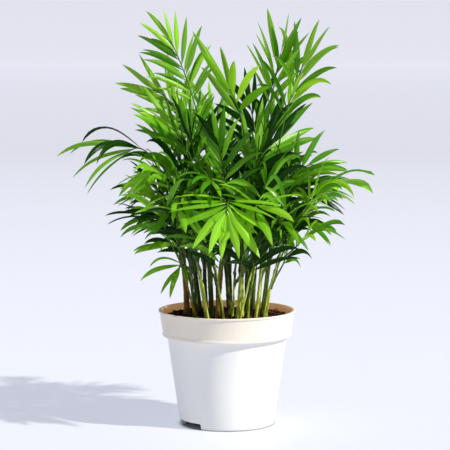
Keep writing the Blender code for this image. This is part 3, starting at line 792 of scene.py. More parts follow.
# %% Extrude the pot
POT_FACETS = 128
POT_FLOOR = 9 * MM
FOOT_RECESS = 2.6 * MM
FOOT_RING_RADIUS = FOOT_RADIUS - 6 * MM
FOOT_RING_SLOPE = 0.8 * MM
BEAD = 0.5 * MM
BEAD_HEIGHT = 2.2 * MM
BEAD_END = 3.0 * MM
BAND_LEAN = 0.1 * MM
BAND_MIDDLE = 0.45
LIP_SET_IN = 0.1 * MM
LIP_ROUND = 0.62
MOUTH_TAPER = 0.4 * MM
MOUTH_DEPTH = 3 * MM
EDGE_ROUNDING = 0.55 * MM
EDGE_ANGLE = math.radians(28)
body_slope = (BODY_TOP_RADIUS - FOOT_RADIUS) / BAND_FOOT
band_widening = (LIP_RADIUS - BAND_FOOT_RADIUS) * 0.5
pot_rings = [
    (FOOT_RING_RADIUS, FOOT_RECESS),
    (FOOT_RING_RADIUS + FOOT_RING_SLOPE, 0),
    (FOOT_RADIUS - FOOT_CHAMFER, 0),
    (FOOT_RADIUS, FOOT_CHAMFER),
    (FOOT_RADIUS + body_slope * 0.5 * BAND_FOOT, 0.5 * BAND_FOOT),
    (BODY_TOP_RADIUS, BAND_FOOT),
    (BAND_FOOT_RADIUS, BAND_FOOT),
    (BAND_FOOT_RADIUS + BAND_LEAN, BAND_FOOT + BEAD_HEIGHT),
    (BAND_FOOT_RADIUS + 2 * BAND_LEAN - BEAD, BAND_FOOT + BEAD_END),
    (BAND_FOOT_RADIUS - BEAD / 2 + band_widening, BAND_FOOT + BAND_HEIGHT * BAND_MIDDLE),
    (LIP_RADIUS, POT_HEIGHT - LIP_DEPTH),
    (RIM_RADIUS - LIP_SET_IN, POT_HEIGHT - LIP_DEPTH * LIP_ROUND),
    (RIM_RADIUS - LIP_SET_IN, POT_HEIGHT),
    (LIP_RADIUS - WALL, POT_HEIGHT),
    (LIP_RADIUS - WALL - MOUTH_TAPER, POT_HEIGHT - MOUTH_DEPTH),
    (BAND_FOOT_RADIUS - WALL, BAND_FOOT + WALL),
    (BODY_TOP_RADIUS - WALL, BAND_FOOT + WALL * 0.5),
    (FOOT_RADIUS + body_slope * POT_FLOOR - WALL, POT_FLOOR),
]
pot = start_circle("nursery_pot", *pot_rings[0], POT_FACETS)
extrude_rings(pot_rings)
finish_edit()
apply_modifier(
    pot, "BEVEL", width=EDGE_ROUNDING, segments=3, limit_method="ANGLE", angle_limit=EDGE_ANGLE,
    harden_normals=False,
)
print("pot", len(pot.data.polygons), "faces before the notches")

# %% [markdown]
# The notches
#
# Water drains out through notches in the pot's foot. A rounded block is placed across the foot's edge and
# taken away with a Boolean modifier, once for each notch, which is simpler than cutting the rings by hand.

# %% Cut the notches
NOTCH_HEADINGS = (-146, 34)
NOTCH_HALF_ANGLE = 23
NOTCH_HEIGHT = 5.8 * MM
NOTCH_DEPTH = 11 * MM
NOTCH_ROUNDING = 1.1 * MM
NOTCH_INSET = 0.6


def notch_cutter(heading):
    """A block that spans one notch under the foot, turned to its heading."""
    bpy.ops.object.select_all(action="DESELECT")
    bpy.ops.mesh.primitive_cube_add(size=1)
    cutter = bpy.context.object
    width = 2 * FOOT_RADIUS * math.sin(math.radians(NOTCH_HALF_ANGLE))
    bpy.ops.object.mode_set(mode="EDIT")
    bpy.ops.transform.resize(value=(NOTCH_DEPTH * 2, width, NOTCH_HEIGHT * 2), center_override=(0, 0, 0))
    bpy.ops.mesh.bevel(offset=NOTCH_ROUNDING, segments=3)
    bpy.ops.object.mode_set(mode="OBJECT")
    angle = math.radians(heading)
    middle = FOOT_RADIUS * math.cos(math.radians(NOTCH_HALF_ANGLE * NOTCH_INSET))
    cutter.matrix_world = Matrix.Rotation(angle, 4, "Z") @ Matrix.Translation((middle, 0, 0))
    return cutter


for heading in NOTCH_HEADINGS:
    cutter = notch_cutter(heading)
    apply_modifier(pot, "BOOLEAN", operation="DIFFERENCE", object=cutter, solver="EXACT")
    bpy.data.objects.remove(cutter)
shade(pot, degrees=32)
place(pot, ["pot"], "pot", pot_plastic)
print("pot", len(pot.data.polygons), "faces,", [round(v / MM, 1) for v in pot.dimensions], "mm")

# %% [markdown]
# The bed of potting mix
#
# Potting mix is dark, loose peat. A flat disc would look like a lid, so the bed is a square grid pressed
# round, with a height that wanders in lumps and hollows, and its rim is turned down along the pot's wall.

# %% Lay the bed of mix
SOIL_RADIUS = LIP_RADIUS - WALL - 1.3 * MM
SOIL_CELLS = 110
SOIL_SKIRT = 9 * MM
SKIRT_TAPER = 0.975
CROWN = 1.2
SINK = 0.4
# The lumps: how many to a metre, and their height in millimetres
LUMPS = ((130, 1.6), (420, 1.0))


def soil_height(x, y):
    """The mix's surface: a low crown round the canes, hollows, and lumps of peat."""
    away = math.hypot(x, y) / SOIL_RADIUS
    spot = Vector((x, y, 0))
    lumps = sum(noise.noise(spot * count) * height for count, height in LUMPS)
    return SOIL_LEVEL + (CROWN * (1 - away**2) + lumps - SINK) * MM


bpy.ops.object.select_all(action="DESELECT")
bpy.ops.mesh.primitive_grid_add(x_subdivisions=SOIL_CELLS, y_subdivisions=SOIL_CELLS, size=2 * SOIL_RADIUS)
soil = bpy.context.object
soil.name = "potting_mix"
for vert in soil.data.vertices:
    x, y = vert.co.x / SOIL_RADIUS, vert.co.y / SOIL_RADIUS
    round_x = x * math.sqrt(1 - y * y / 2) * SOIL_RADIUS
    round_y = y * math.sqrt(1 - x * x / 2) * SOIL_RADIUS
    vert.co = (round_x, round_y, soil_height(round_x, round_y))
bpy.ops.object.mode_set(mode="EDIT")
bpy.ops.mesh.select_mode(type="EDGE")
bpy.ops.mesh.select_all(action="SELECT")
bpy.ops.mesh.region_to_loop()
bpy.ops.mesh.extrude_region_move(TRANSFORM_OT_translate={"value": (0, 0, -SOIL_SKIRT)})
bpy.ops.transform.resize(value=(SKIRT_TAPER, SKIRT_TAPER, 1), center_override=(0, 0, 0))
bpy.ops.mesh.edge_face_add()
finish_edit()
shade(soil, degrees=60)
place(soil, ["soil"], "soil", mix_brown)
print("bed", len(soil.data.polygons), "faces")

# %% [markdown]
# Piles of small shapes
#
# Thousands of crumbs or leaflets as separate objects would be slow, and particles are lost in the export.
# So the points and faces of all shapes of one kind are gathered in a pile, and each pile becomes one mesh.

# %% Piles of small shapes
class Pile:
    """Many small shapes gathered into one mesh, with a map if they have one."""

    def __init__(self):
        self.points, self.faces, self.uvs = [], [], []

    def add(self, points, faces, uvs=None):
        first = len(self.points)
        self.points += [tuple(p) for p in points]
        self.faces += [tuple(k + first for k in face) for face in faces]
        if uvs:
            self.uvs += [uvs[k] for face in faces for k in face]

    def piece(self, name, smooth=True):
        """The gathered shapes as one object."""
        mesh = bpy.data.meshes.new(name)
        mesh.from_pydata(self.points, [], self.faces)
        if self.uvs:
            layer = mesh.uv_layers.new(name="blade")
            layer.data.foreach_set("uv", [value for uv in self.uvs for value in uv])
        if smooth:
            mesh.shade_smooth()
        mesh.update()
        made = bpy.data.objects.new(name, mesh)
        bpy.context.scene.collection.objects.link(made)
        return made


def lay(pile, name, nodes, slot, skin, smooth=True):
    """A pile as one finished piece, which stands for the nodes."""
    piece = pile.piece(name, smooth)
    place(piece, nodes, slot, skin)
    print(name, len(piece.data.polygons), "faces")


# %% [markdown]
# Crumbs and chips
#
# Loose crumbs of peat and chips of red-brown bark lie on the real mix and catch the light. Each starts as a
# ball of twenty faces that is roughened, pulled out and turned by chance. Most are small and a few are
# large.

# %% Scatter the crumbs and chips
FULL_TURN = 6.28
CRUMBS = 2600
CRUMB_SEED = 41
CRUMB_REACH = 0.985
CRUMB_MARGIN = 2.2
CRUMB_LEAST = 0.5
CRUMB_GROWTH = 1.9
CRUMB_POWER = 2.5
CRUMB_RISE = 0.25
CRUMB_FLATNESS = 0.7
CORNER_LEAST = 0.7
CORNER_GROWTH = 0.5
PEAT_STRETCH = 1.2
BARK_STRETCH = 2.0
BARK_SHARE = 0.3


def lump(centre, size, stretch, seed):
    """Points and faces of one crumb: a rough, pulled-out ball."""
    chance = random.Random(seed)
    made = bmesh.new()
    bmesh.ops.create_icosphere(made, subdivisions=1, radius=1)
    angle = chance.uniform(0, FULL_TURN)
    axis = Vector([chance.uniform(-1, 1) for _ in range(3)]).normalized()
    turn = Matrix.Rotation(angle, 3, axis)
    points = []
    for vert in made.verts:
        spot = vert.co * (CORNER_LEAST + CORNER_GROWTH * chance.random())
        spot = Vector((spot.x * stretch, spot.y, spot.z * CRUMB_FLATNESS)) * size
        points.append(centre + turn @ spot)
    faces = [tuple(v.index for v in face.verts) for face in made.faces]
    made.free()
    return points, faces


chance = random.Random(CRUMB_SEED)
peat, bark = Pile(), Pile()
for number in range(CRUMBS):
    away = SOIL_RADIUS * CRUMB_REACH * math.sqrt(chance.random())
    heading = chance.uniform(0, 2 * math.pi)
    x, y = away * math.cos(heading), away * math.sin(heading)
    size = (CRUMB_LEAST + CRUMB_GROWTH * chance.random() ** CRUMB_POWER) * MM
    is_bark = chance.random() < BARK_SHARE
    centre = Vector((x, y, soil_height(x, y) + size * CRUMB_RISE))
    if math.hypot(x, y) + size * CRUMB_MARGIN > SOIL_RADIUS:
        continue
    if is_bark:
        bark.add(*lump(centre, size, BARK_STRETCH, number))
    else:
        peat.add(*lump(centre, size, PEAT_STRETCH, number))
lay(peat, "peat_crumbs", ["soil"], "soil", mix_brown, smooth=False)
lay(bark, "bark_chips", ["soil"], "soil", chip_brown, smooth=False)

# %% [markdown]
# Curves and tubes
#
# A cane and a rib each bend once, like a rod with a load on its end. A curve of three points does that: it
# leaves the first towards the second and arrives at the third. A tube of rings is then laid along it.

# %% Curves and tubes
POINT_LENGTH = 3


def bend(start, control, end, t):
    """A point on the simple curve that leaves start towards control and arrives at end."""
    return start * (1 - t) ** 2 + control * 2 * t * (1 - t) + end * t * t


def bend_heading(start, control, end, t):
    """The curve's direction at t."""
    return ((control - start) * (1 - t) + (end - control) * t).normalized()


def tube(centres, radii, sides, pointed, ridges=None):
    """Points and faces of a tapered tube along its centres: flat at the foot, pointed or flat on top."""
    points, faces = [], []
    across = (centres[1] - centres[0]).orthogonal().normalized()
    for k, (centre, radius) in enumerate(zip(centres, radii)):
        ahead = centres[min(k + 1, len(centres) - 1)] - centres[max(k - 1, 0)]
        ahead.normalize()
        if ridges:
            across = ridges[k]
        across = (across - ahead * across.dot(ahead)).normalized()
        other = ahead.cross(across)
        for side in range(sides):
            angle = 2 * math.pi * side / sides
            points.append(centre + (across * math.cos(angle) + other * math.sin(angle)) * radius)
    rings = len(centres)
    for ring in range(rings - 1):
        for side in range(sides):
            a, b = ring * sides + side, ring * sides + (side + 1) % sides
            faces.append((a, b, b + sides, a + sides))
    faces.append(tuple(reversed(range(sides))))
    top = list(range((rings - 1) * sides, rings * sides))
    if pointed:
        points.append(centres[-1] + (centres[-1] - centres[-2]).normalized() * radii[-1] * POINT_LENGTH)
        for side in range(sides):
            faces.append((top[side], top[(side + 1) % sides], len(points) - 1))
    else:
        faces.append(tuple(top))
    return points, faces


print("a tube of two rings and three sides has", len(tube([Vector(), UP], [1, 1], 3, False)[1]), "faces")

# %% [markdown]
# The canes' rule
#
# From here to the leaflets the CAD model's own rule is written again, with its sizes and its seeds, so that
# every finer piece follows its solid. A cane leans from its foot to its top, flares at the foot and tapers
# upwards.

# %% The canes' rule
CANE_TOP_SHARE = 0.6
CANE_BOW = 0.3
CANE_FLARE = 1.25
FLARE_HEIGHT = 0.1
CANE_SIDES = 6
CANE_RINGS = (0.0, 0.06, 0.28, 0.33, 0.66, 1.0)
CANE_SWELLING = 1.1


def cane_line(cane):
    """A cane's foot, middle control point and top, in metres."""
    foot = Vector((cane.foot[0], cane.foot[1], 0)) * MM
    top = Vector((cane.top[0], cane.top[1], cane.height)) * MM
    foot.z = SOIL_LEVEL + GAP
    top.z += SOIL_LEVEL
    control = (foot + top) / 2
    control.x = foot.x + (top.x - foot.x) * CANE_BOW
    control.y = foot.y + (top.y - foot.y) * CANE_BOW
    return foot, control, top


def cane_radius(cane, t):
    """A cane's radius at a share of its height."""
    foot = cane.thickness / 2 * MM
    flare = (CANE_FLARE - 1) * max(0.0, 1 - t / FLARE_HEIGHT)
    return foot * (1 - (1 - CANE_TOP_SHARE) * t + flare)


def cane_shape(cane, extra=0.0):
    """Points and faces of a cane: a flat cut foot with a flare, faint swellings and a pointed top."""
    line = cane_line(cane)
    centres = [bend(*line, t) for t in CANE_RINGS]
    radii = [cane_radius(cane, t) + extra for t in CANE_RINGS]
    radii[2] *= CANE_SWELLING
    return tube(centres, radii, CANE_SIDES, pointed=True)


print("half way up the first cane:", [round(v / MM, 1) for v in bend(*cane_line(CANES[0]), 0.5)], "mm")

# %% [markdown]
# The ribs' rule
#
# A stalk leaves its cane, rises and arches over to its tip, and its upper part is the rib that carries the
# leaflets. The blade's face is turned about the rib, so the rule also tells which way that face looks.

# %% The ribs' rule
STALK_RADIUS = 1.0 * MM
STALK_HOLDS = (0.5, 0.7, 0.9, 1.1, 1.3)
RIB_TIP_RADIUS = 0.6 * MM
RIB_RINGS = 8
RIB_SIDES = 3


def rib_line(frond, nudge, swing, hold):
    """A frond's stalk and rib as a curve: where it leaves the cane, its control point and its tip.

    Hold is how far the stalk's middle stands off the cane's skin, in stalk radii."""
    cane = CANES[frond.cane]
    line = cane_line(cane)
    on_cane = bend(*line, frond.share)
    along = bend_heading(*line, frond.share)
    tip = Vector(frond.tip) * MM + nudge
    outward = tip - on_cane
    outward -= along * outward.dot(along)
    outward.normalize()
    outward = outward * math.cos(swing) + along.cross(outward) * math.sin(swing)
    start = on_cane + outward * (cane_radius(cane, frond.share) + GAP + STALK_RADIUS * hold)
    reach = (tip - start).length
    level = Vector((tip.x - on_cane.x, tip.y - on_cane.y, 0)).normalized()
    control = start + along * reach * frond.rise + level * reach * frond.lean
    return start, control, tip


def rib_shape(line, turn, extra=0.0):
    """Points and faces of a frond's stalk and rib, with a ridge along the blade's upper face."""
    shares = [k / (RIB_RINGS - 1) for k in range(RIB_RINGS)]
    centres = [bend(*line, t) for t in shares]
    radii = [STALK_RADIUS + (RIB_TIP_RADIUS - STALK_RADIUS) * t + extra for t in shares]
    ridges = [rib_frame(line, turn, t)[2] for t in shares]
    return tube(centres, radii, RIB_SIDES, pointed=True, ridges=ridges)


def rib_frame(line, turn, t):
    """The rib's direction, the blade's sideways direction and its upper face's normal at t."""
    ahead = bend_heading(*line, t)
    out = line[2] - line[0]
    out.z = 0
    side = out.cross(UP).normalized()
    side = (side - ahead * side.dot(ahead)).normalized()
    face = side.cross(ahead)
    angle = math.radians(turn)
    return (
        ahead,
        side * math.cos(angle) + face * math.sin(angle),
        face * math.cos(angle) - side * math.sin(angle),
    )


print("a rib in the CAD model has", RIB_RINGS, "rings of", RIB_SIDES, "corners")

# %% [markdown]
# The leaflets' rule
#
# Leaflets stand in two ranks along the rib. The lowest spread the most, and each one nearer the tip closes
# in towards the rib's own direction. Each then bends down along its length, and small random shares of its
# lift, length and droop keep any two from being alike.

# %% The leaflets' rule
HIGHEST_ANGLE = 8
CLOSING_POWER = 1.7
ANGLE_WOBBLE = 6
LIFT = 10
LIFT_WOBBLE = 8
FACE_WOBBLE = 0.6
FACE_SET_BACK = 0.2
LENGTH_WOBBLE = 0.08
DROOP_WOBBLE = 0.3
SHORTEST = 0.78
LENGTH_ARCH = 0.3
ARCH_START = 0.2
ARCH_SPAN = 0.75
LEAF_WIDTH_SHARE = 0.12
NARROWEST = 0.85
WIDENING = 0.3
FIRST_DROOP = 1.2
DROOP_LOSS = 0.5
LEAF_THICKNESS = 0.9 * MM
ROOT_WIDTH = 0.7 * MM
ROOT_THICKNESS = 0.4 * MM
ROOT_SHIFT = 0.15 * MM
KEEL_SHARE = 0.6
SECOND_WIDTH_SHARE = 0.7
LEAF_STEPS = 12
BENT_DROOP = 0.45
SHARE_SLACK = 1e-6


Leaf = namedtuple("Leaf", "root heading face length width droop")


def leaf_places(frond):
    """Each leaflet's share of the rib's leafy part, its place on the rib and its side, in turn up the rib."""
    for number in range(frond.leaves):
        share = number / (frond.leaves - 1)
        yield share, frond.bare + (1 - frond.bare) * share, 1 - 2 * (number % 2)


def leaf_at(frond, line, share, t, side, wobble, shift, shrink):
    """One leaflet: where it is rooted, the way it points, its face, its size and its droop."""
    ahead, across, face = rib_frame(line, frond.turn, t)
    angle = frond.spread + (HIGHEST_ANGLE - frond.spread) * share**CLOSING_POWER
    angle += wobble[0] * ANGLE_WOBBLE
    lift = LIFT * (1 - share) + wobble[1] * LIFT_WOBBLE + shift
    heading = ahead * math.cos(math.radians(angle)) + across * side * math.sin(math.radians(angle))
    heading = (heading + face * math.tan(math.radians(lift))).normalized()
    normal = (face + across * side * FACE_WOBBLE * wobble[2] - ahead * FACE_SET_BACK).normalized()
    length = frond.leaf * MM * (SHORTEST + LENGTH_ARCH * math.sin(math.pi * (ARCH_START + ARCH_SPAN * share)))
    length *= shrink * (1 + LENGTH_WOBBLE * wobble[3])
    width = length * LEAF_WIDTH_SHARE * (NARROWEST + WIDENING * share)
    droop = frond.droop * (FIRST_DROOP - DROOP_LOSS * share) * (1 + DROOP_WOBBLE * wobble[4])
    root = bend(*line, t) + (across * side - face) * ROOT_SHIFT
    return Leaf(root, heading, normal, length, width, droop)


def leaf_middle(leaf, shares):
    """Centre, sideways direction and normal of a leaflet at given shares of its length, as it bends down."""
    found = []
    point, wanted = leaf.root.copy(), list(shares)
    for step in range(LEAF_STEPS + 1):
        share = step / LEAF_STEPS
        heading = (leaf.heading - UP * leaf.droop * share * share).normalized()
        while wanted and wanted[0] <= share + SHARE_SLACK:
            wanted.pop(0)
            side = heading.cross(leaf.face).normalized()
            found.append((point.copy(), side, side.cross(heading)))
        point = point + heading * leaf.length / LEAF_STEPS
    return found


def leaf_shape(leaf, extra=0.0):
    """Points and faces of a leaflet: a keeled blade from a narrow root to a point, bent once if it droops."""
    if leaf.droop > BENT_DROOP:
        steps, widths = (0, 4, 8, LEAF_STEPS), (ROOT_WIDTH, leaf.width, leaf.width * SECOND_WIDTH_SHARE)
    else:
        steps, widths = (0, 5, LEAF_STEPS), (ROOT_WIDTH, leaf.width)
    middle = leaf_middle(leaf, [step / LEAF_STEPS for step in steps])
    points, faces = [], []
    for (centre, side, normal), width in zip(middle, widths):
        half = side * (width / 2 + extra)
        thickness = LEAF_THICKNESS if points else ROOT_THICKNESS
        top = centre + normal * (thickness * (1 - KEEL_SHARE) + extra)
        points += [top + half, top - half, centre - normal * (thickness * KEEL_SHARE + extra)]
    points.append(middle[-1][0])
    last = len(points) - 4
    for ring in range(0, last, 3):
        for k in range(3):
            n = (k + 1) % 3
            faces.append((ring + k, ring + n, ring + n + 3, ring + k + 3))
    faces += [(2, 1, 0)] + [(last + k, last + (k + 1) % 3, last + 3) for k in range(3)]
    return points, faces


print("a leaflet bends in", LEAF_STEPS, "steps")

# %% [markdown]
# Clear places
#
# Real leaves push past one another and never pass through. A search tree tells quickly whether two shapes
# cross. Where they do, a rib is moved as little as will do, and a leaflet is lifted, lowered or shortened,
# and left out if nothing helps.

# %% Clear places
LEAF_SEED = 1000
# A leaflet's tries: its lift in degrees and its length's share
TRIES = ((0, 1.0), (14, 1.0), (-14, 1.0), (26, 0.92), (-26, 0.92), (36, 0.8), (-36, 0.8))
RIB_TRIES = 60
RIB_NUDGE = 0.4 * MM
RIB_SWING = 0.08
MOST_SWING = 2.2


def tree_of(shape):
    """A search tree of a shape, for telling whether two shapes cross."""
    points, faces = shape
    return BVHTree.FromPolygons([tuple(p) for p in points], faces)


def is_clear(shape, trees):
    """Whether a shape crosses none of the trees and stays above the mix."""
    if min(p.z for p in shape[0]) < SOIL_LEVEL + GAP:
        return False
    tree = tree_of(shape)
    return not any(tree.overlap(other) for other in trees)


def find_rib(number, frond, trees):
    """A rib that is clear of the trees. Its tip and foot move as little as will do, seeded by its number."""
    chance = random.Random(number)
    for attempt in range(RIB_TRIES):
        nudge = Vector([chance.uniform(-1, 1) for _ in range(3)]) * attempt * RIB_NUDGE
        swing = chance.uniform(-1, 1) * min(attempt * RIB_SWING, MOST_SWING)
        for hold in STALK_HOLDS:
            line = rib_line(frond, nudge, swing, hold)
            shape = rib_shape(line, frond.turn, extra=GAP)
            if is_clear(shape, trees):
                return line, tree_of(shape)
    return None, None


def grow_leaves(seed, frond, line, others, swap=1, back=0.0):
    """A frond's leaflets that are clear of the others, and their trees.

    A swap of -1 roots them on the rib's other side, and back moves them down it by a share of its length."""
    chance = random.Random(seed)
    kept, trees = [], []
    for share, t, side in leaf_places(frond):
        wobble = [chance.uniform(-1, 1) for _ in range(5)]
        for shift, shrink in TRIES:
            leaf = leaf_at(frond, line, share, t - back, side * swap, wobble, shift, shrink)
            shape = leaf_shape(leaf, extra=GAP)
            if is_clear(shape, others):
                kept.append(leaf)
                trees.append(tree_of(shape))
                break
    return kept, trees


print("a leaflet has", len(TRIES), "tries and a rib has", RIB_TRIES * len(STALK_HOLDS))

# %% [markdown]
# The main growth
#
# The ribs are grown first and the leaflets after them, in the same order as in the CAD model, because each
# one has to find its way past those before it. The leaflets kept are counted against those planned.

# %% Grow the main ribs and leaflets
MOVE_TOLD = 3 * MM
plain_canes = [tree_of(cane_shape(cane, extra=GAP)) for cane in CANES]
rib_lines, rib_trees = [], []
for number, frond in enumerate(FRONDS):
    line, tree = find_rib(number, frond, rib_trees + plain_canes)
    if line is None:
        raise RuntimeError(f"no way through for frond {number}")
    rib_lines.append(line)
    rib_trees.append(tree)
    moved = (line[2] - Vector(frond.tip) * MM).length
    if moved > MOVE_TOLD:
        print("frond", number, "moved", round(moved / MM, 1), "mm")
kept_leaves, grown = [], []
for number, (frond, line) in enumerate(zip(FRONDS, rib_lines)):
    others = plain_canes + rib_trees[:number] + rib_trees[number + 1 :] + grown
    leaves, trees = grow_leaves(LEAF_SEED + number, frond, line, others)
    kept_leaves.append(leaves)
    grown += trees
print(sum(map(len, kept_leaves)), "leaflets of", sum(frond.leaves for frond in FRONDS))

# %% [markdown]
# Partner leaflets
#
# The solids have one leaflet at each place, on the left and the right in turn. The real upper fans are
# fuller, so the rule is run again for them with the sides swapped, each leaflet a little lower on the rib
# and a little shorter.

# %% Grow the partners
PARTNERED = (0, 2, 3, 5, 6)
PARTNER_SHIFT = 0.4
PARTNER_LENGTH = 0.86
PARTNER_SEED = 3000
for number in PARTNERED:
    frond = FRONDS[number]._replace(leaf=FRONDS[number].leaf * PARTNER_LENGTH)
    others = plain_canes + rib_trees[:number] + rib_trees[number + 1 :] + grown
    spacing = (1 - frond.bare) / (frond.leaves - 1)
    seed = PARTNER_SEED + number
    more, trees = grow_leaves(seed, frond, rib_lines[number], others, swap=-1, back=PARTNER_SHIFT * spacing)
    kept_leaves[number] += more
    grown += trees
    print("frond", number, "gains", len(more), "leaflets")

# %% [markdown]
# Thin shoots
#
# Between the old canes of a clump stand younger, thinner ones. They are too fine for the solids. Each is
# planned like a cane, and its foot and top are moved until it is clear of all that has grown.

# %% Grow the thin shoots
SHOOT_TRIES = 40
SHOOT_SHIFT = 0.4
YOUNG_SEED = 500
FRONT_SEED = 77
SHOOTS = (
    Cane((-29, 12), (-35, 16), 66, 2.6),
    Cane((-9, 12), (-14, 20), 74, 2.6),
    Cane((5, -14), (9, -22), 58, 2.4),
    Cane((19, -32), (26, -42), 52, 2.2),
    Cane((21, -2), (27, 0), 78, 2.6),
    Cane((-4, -30), (-14, -38), 60, 2.4),
    Cane((-29, -17), (-40, -22), 56, 2.4),
    Cane((33, 6), (42, 8), 72, 2.4),
    Cane((11, 20), (16, 27), 80, 2.6),
    Cane((-14, 30), (-16, 40), 76, 2.4),
    Cane((18, 40), (20, 52), 70, 2.4),
    Cane((-36, 20), (-46, 26), 64, 2.4),
)
FRONT_SHOOTS = (
    Cane((-17, -36), (-29, -44), 60, 2.4),
    Cane((12, -37), (28, -46), 62, 2.6),
    Cane((24, -34), (15, -44), 56, 2.2),
    Cane((-3, -38), (-11, -47), 54, 2.2),
    Cane((-30, -25), (-45, -28), 60, 2.4),
    Cane((34, -24), (50, -30), 64, 2.2),
)


def clear_shoot(shoot, trees, chance):
    """A shoot moved as little as will do to be clear of the trees, and its own tree."""
    for attempt in range(SHOOT_TRIES):
        shift = [chance.uniform(-SHOOT_SHIFT, SHOOT_SHIFT) * attempt for _ in range(4)]
        foot = (shoot.foot[0] + shift[0], shoot.foot[1] + shift[1])
        top = (shoot.top[0] + shift[2], shoot.top[1] + shift[3])
        moved = shoot._replace(foot=foot, top=top)
        tree = tree_of(cane_shape(moved, extra=GAP))
        if not any(tree.overlap(other) for other in trees):
            return moved, tree
    return None, None


main_canes = len(CANES)
chance = random.Random(YOUNG_SEED)
for shoots, draws in ((SHOOTS, chance), (FRONT_SHOOTS, random.Random(FRONT_SEED))):
    for shoot in shoots:
        placed, tree = clear_shoot(shoot, plain_canes + rib_trees + grown, draws)
        if placed:
            CANES = CANES + (placed,)
            plain_canes.append(tree)
print(len(CANES) - main_canes, "shoots of", len(SHOOTS) + len(FRONT_SHOOTS))

# %% [markdown]
# Young fronds
#
# Small young fronds fill the heart of a real clump and leave no bare canes under the crown. A cane gets
# three of them, a cane at the back five, so that the crown is full from behind too, and a shoot in front
# one. A frond with too few clear leaflets is left out.

# %% Grow the young fronds
YOUNG_SHARES = (0.62, 0.76, 0.92)
BACK_SHARES = (0.50, 0.60, 0.70, 0.82, 0.97)
FRONT_SHARES = (0.97,)
BACK_FROM = 10
YOUNG_SPLAY = 1.3
YOUNG_REACH = 10
REACH_GAIN = 24
YOUNG_RISE = (26, 58)
FEWEST_LEAVES = 4


def young_frond(cane_number, share, chance):
    """A small frond that leaves its cane low down and opens inside the crown."""
    cane = CANES[cane_number]
    on_cane = bend(*cane_line(cane), share)
    outward = math.atan2(cane.top[1], cane.top[0]) + chance.uniform(-YOUNG_SPLAY, YOUNG_SPLAY)
    reach = chance.uniform(YOUNG_REACH, YOUNG_REACH + REACH_GAIN * share)
    x = on_cane.x / MM + reach * math.cos(outward)
    y = on_cane.y / MM + reach * math.sin(outward)
    z = on_cane.z / MM + chance.uniform(*YOUNG_RISE)
    return Frond(
        cane=cane_number,
        share=share,
        tip=(x, y, z),
        rise=chance.uniform(0.6, 0.9),
        lean=chance.uniform(0.1, 0.4),
        bare=chance.uniform(0.3, 0.5),
        turn=chance.uniform(-25, 25),
        spread=chance.uniform(46, 62),
        leaves=chance.choice((7, 8, 9)),
        leaf=chance.uniform(42, 56),
        droop=chance.uniform(0.8, 1.4),
    )


def young_shares(number, cane):
    """How far up a cane its young fronds leave it: one on a front shoot, and more on a cane at the back."""
    if number >= main_canes + len(SHOOTS):
        return FRONT_SHARES
    return BACK_SHARES if cane.foot[1] > BACK_FROM else YOUNG_SHARES


# The draws go on from those of the shoots
young = []
for cane_number, cane in enumerate(CANES):
    for share in young_shares(cane_number, cane):
        frond = young_frond(cane_number, share, chance)
        seed = YOUNG_SEED + len(young)
        line, tree = find_rib(seed, frond, rib_trees + plain_canes)
        if line is None:
            continue
        leaves, trees = grow_leaves(LEAF_SEED + seed, frond, line, plain_canes + rib_trees + grown)
        if len(leaves) < FEWEST_LEAVES:
            continue
        rib_trees.append(tree)
        grown += trees
        young.append((frond, line, leaves))
print(len(young), "young fronds with", sum(len(leaves) for _, _, leaves in young), "leaflets")

# %% [markdown]
# The canes
#
# A palm's cane is ringed like bamboo, with a scar where each old leaf was and a slight waist above it. The
# rings could be a bump in the material, but they show in the outline too, so the tube is modelled with
# them, fine enough to be round. Most canes are green and a few old ones brown. The canes in front are lime,
# partly for the paler green of young canes and partly as painted sunlight.

# %% Grow the canes
CANE_FACETS = 14
CANE_STEPS = 72
CANE_SEED = 300
CANE_SWAY = 0.5 * MM
SWAY_TURNS = (7, 5)
BURIED = 2 * MM
RING_SPACING = 13 * MM
SPACING_RANGE = (0.85, 1.2)
OFFSET_RANGE = (0.2, 0.9)
RING_SWELL = 0.12
RING_BAND = 0.55 * MM
WAIST = 0.05
WAIST_PLACE = 2.2 * MM
WAIST_BAND = 1.6 * MM
SKIN_EASE = 0.97
# The canes in front, lime partly as painted sunlight
LIME_CANES = (2, 8, 9, 13, 14, 19, 20, 29, 30, 32, 34)
BROWN_CANES = (0, 5, 33)


def bump(distance, band):
    """A smooth swelling: 1 at no distance, and almost nothing past twice the band."""
    return math.exp(-((distance / band) ** 2))


def fine_cane(number, cane):
    """Points and faces of one cane with its rings."""
    chance = random.Random(CANE_SEED + number)
    line = cane_line(cane)
    spacing = RING_SPACING * chance.uniform(*SPACING_RANGE)
    offset = chance.uniform(*OFFSET_RANGE) * spacing
    centres, radii = [], []
    for k in range(CANE_STEPS + 1):
        t = k / CANE_STEPS
        phase = ((t * cane.height * MM - offset) / spacing) % 1
        ring = bump(min(phase, 1 - phase) * spacing, RING_BAND)
        waist = bump(phase * spacing - WAIST_PLACE, WAIST_BAND)
        aside = Vector((math.sin(SWAY_TURNS[0] * t + number), math.cos(SWAY_TURNS[1] * t + 2 * number), 0))
        sway = aside * CANE_SWAY * math.sin(math.pi * t)
        centres.append(bend(*line, t) + sway - UP * (BURIED * (t == 0)))
        radii.append(cane_radius(cane, t) * (SKIN_EASE + RING_SWELL * ring - WAIST * waist))
    return tube(centres, radii, CANE_FACETS, pointed=True)


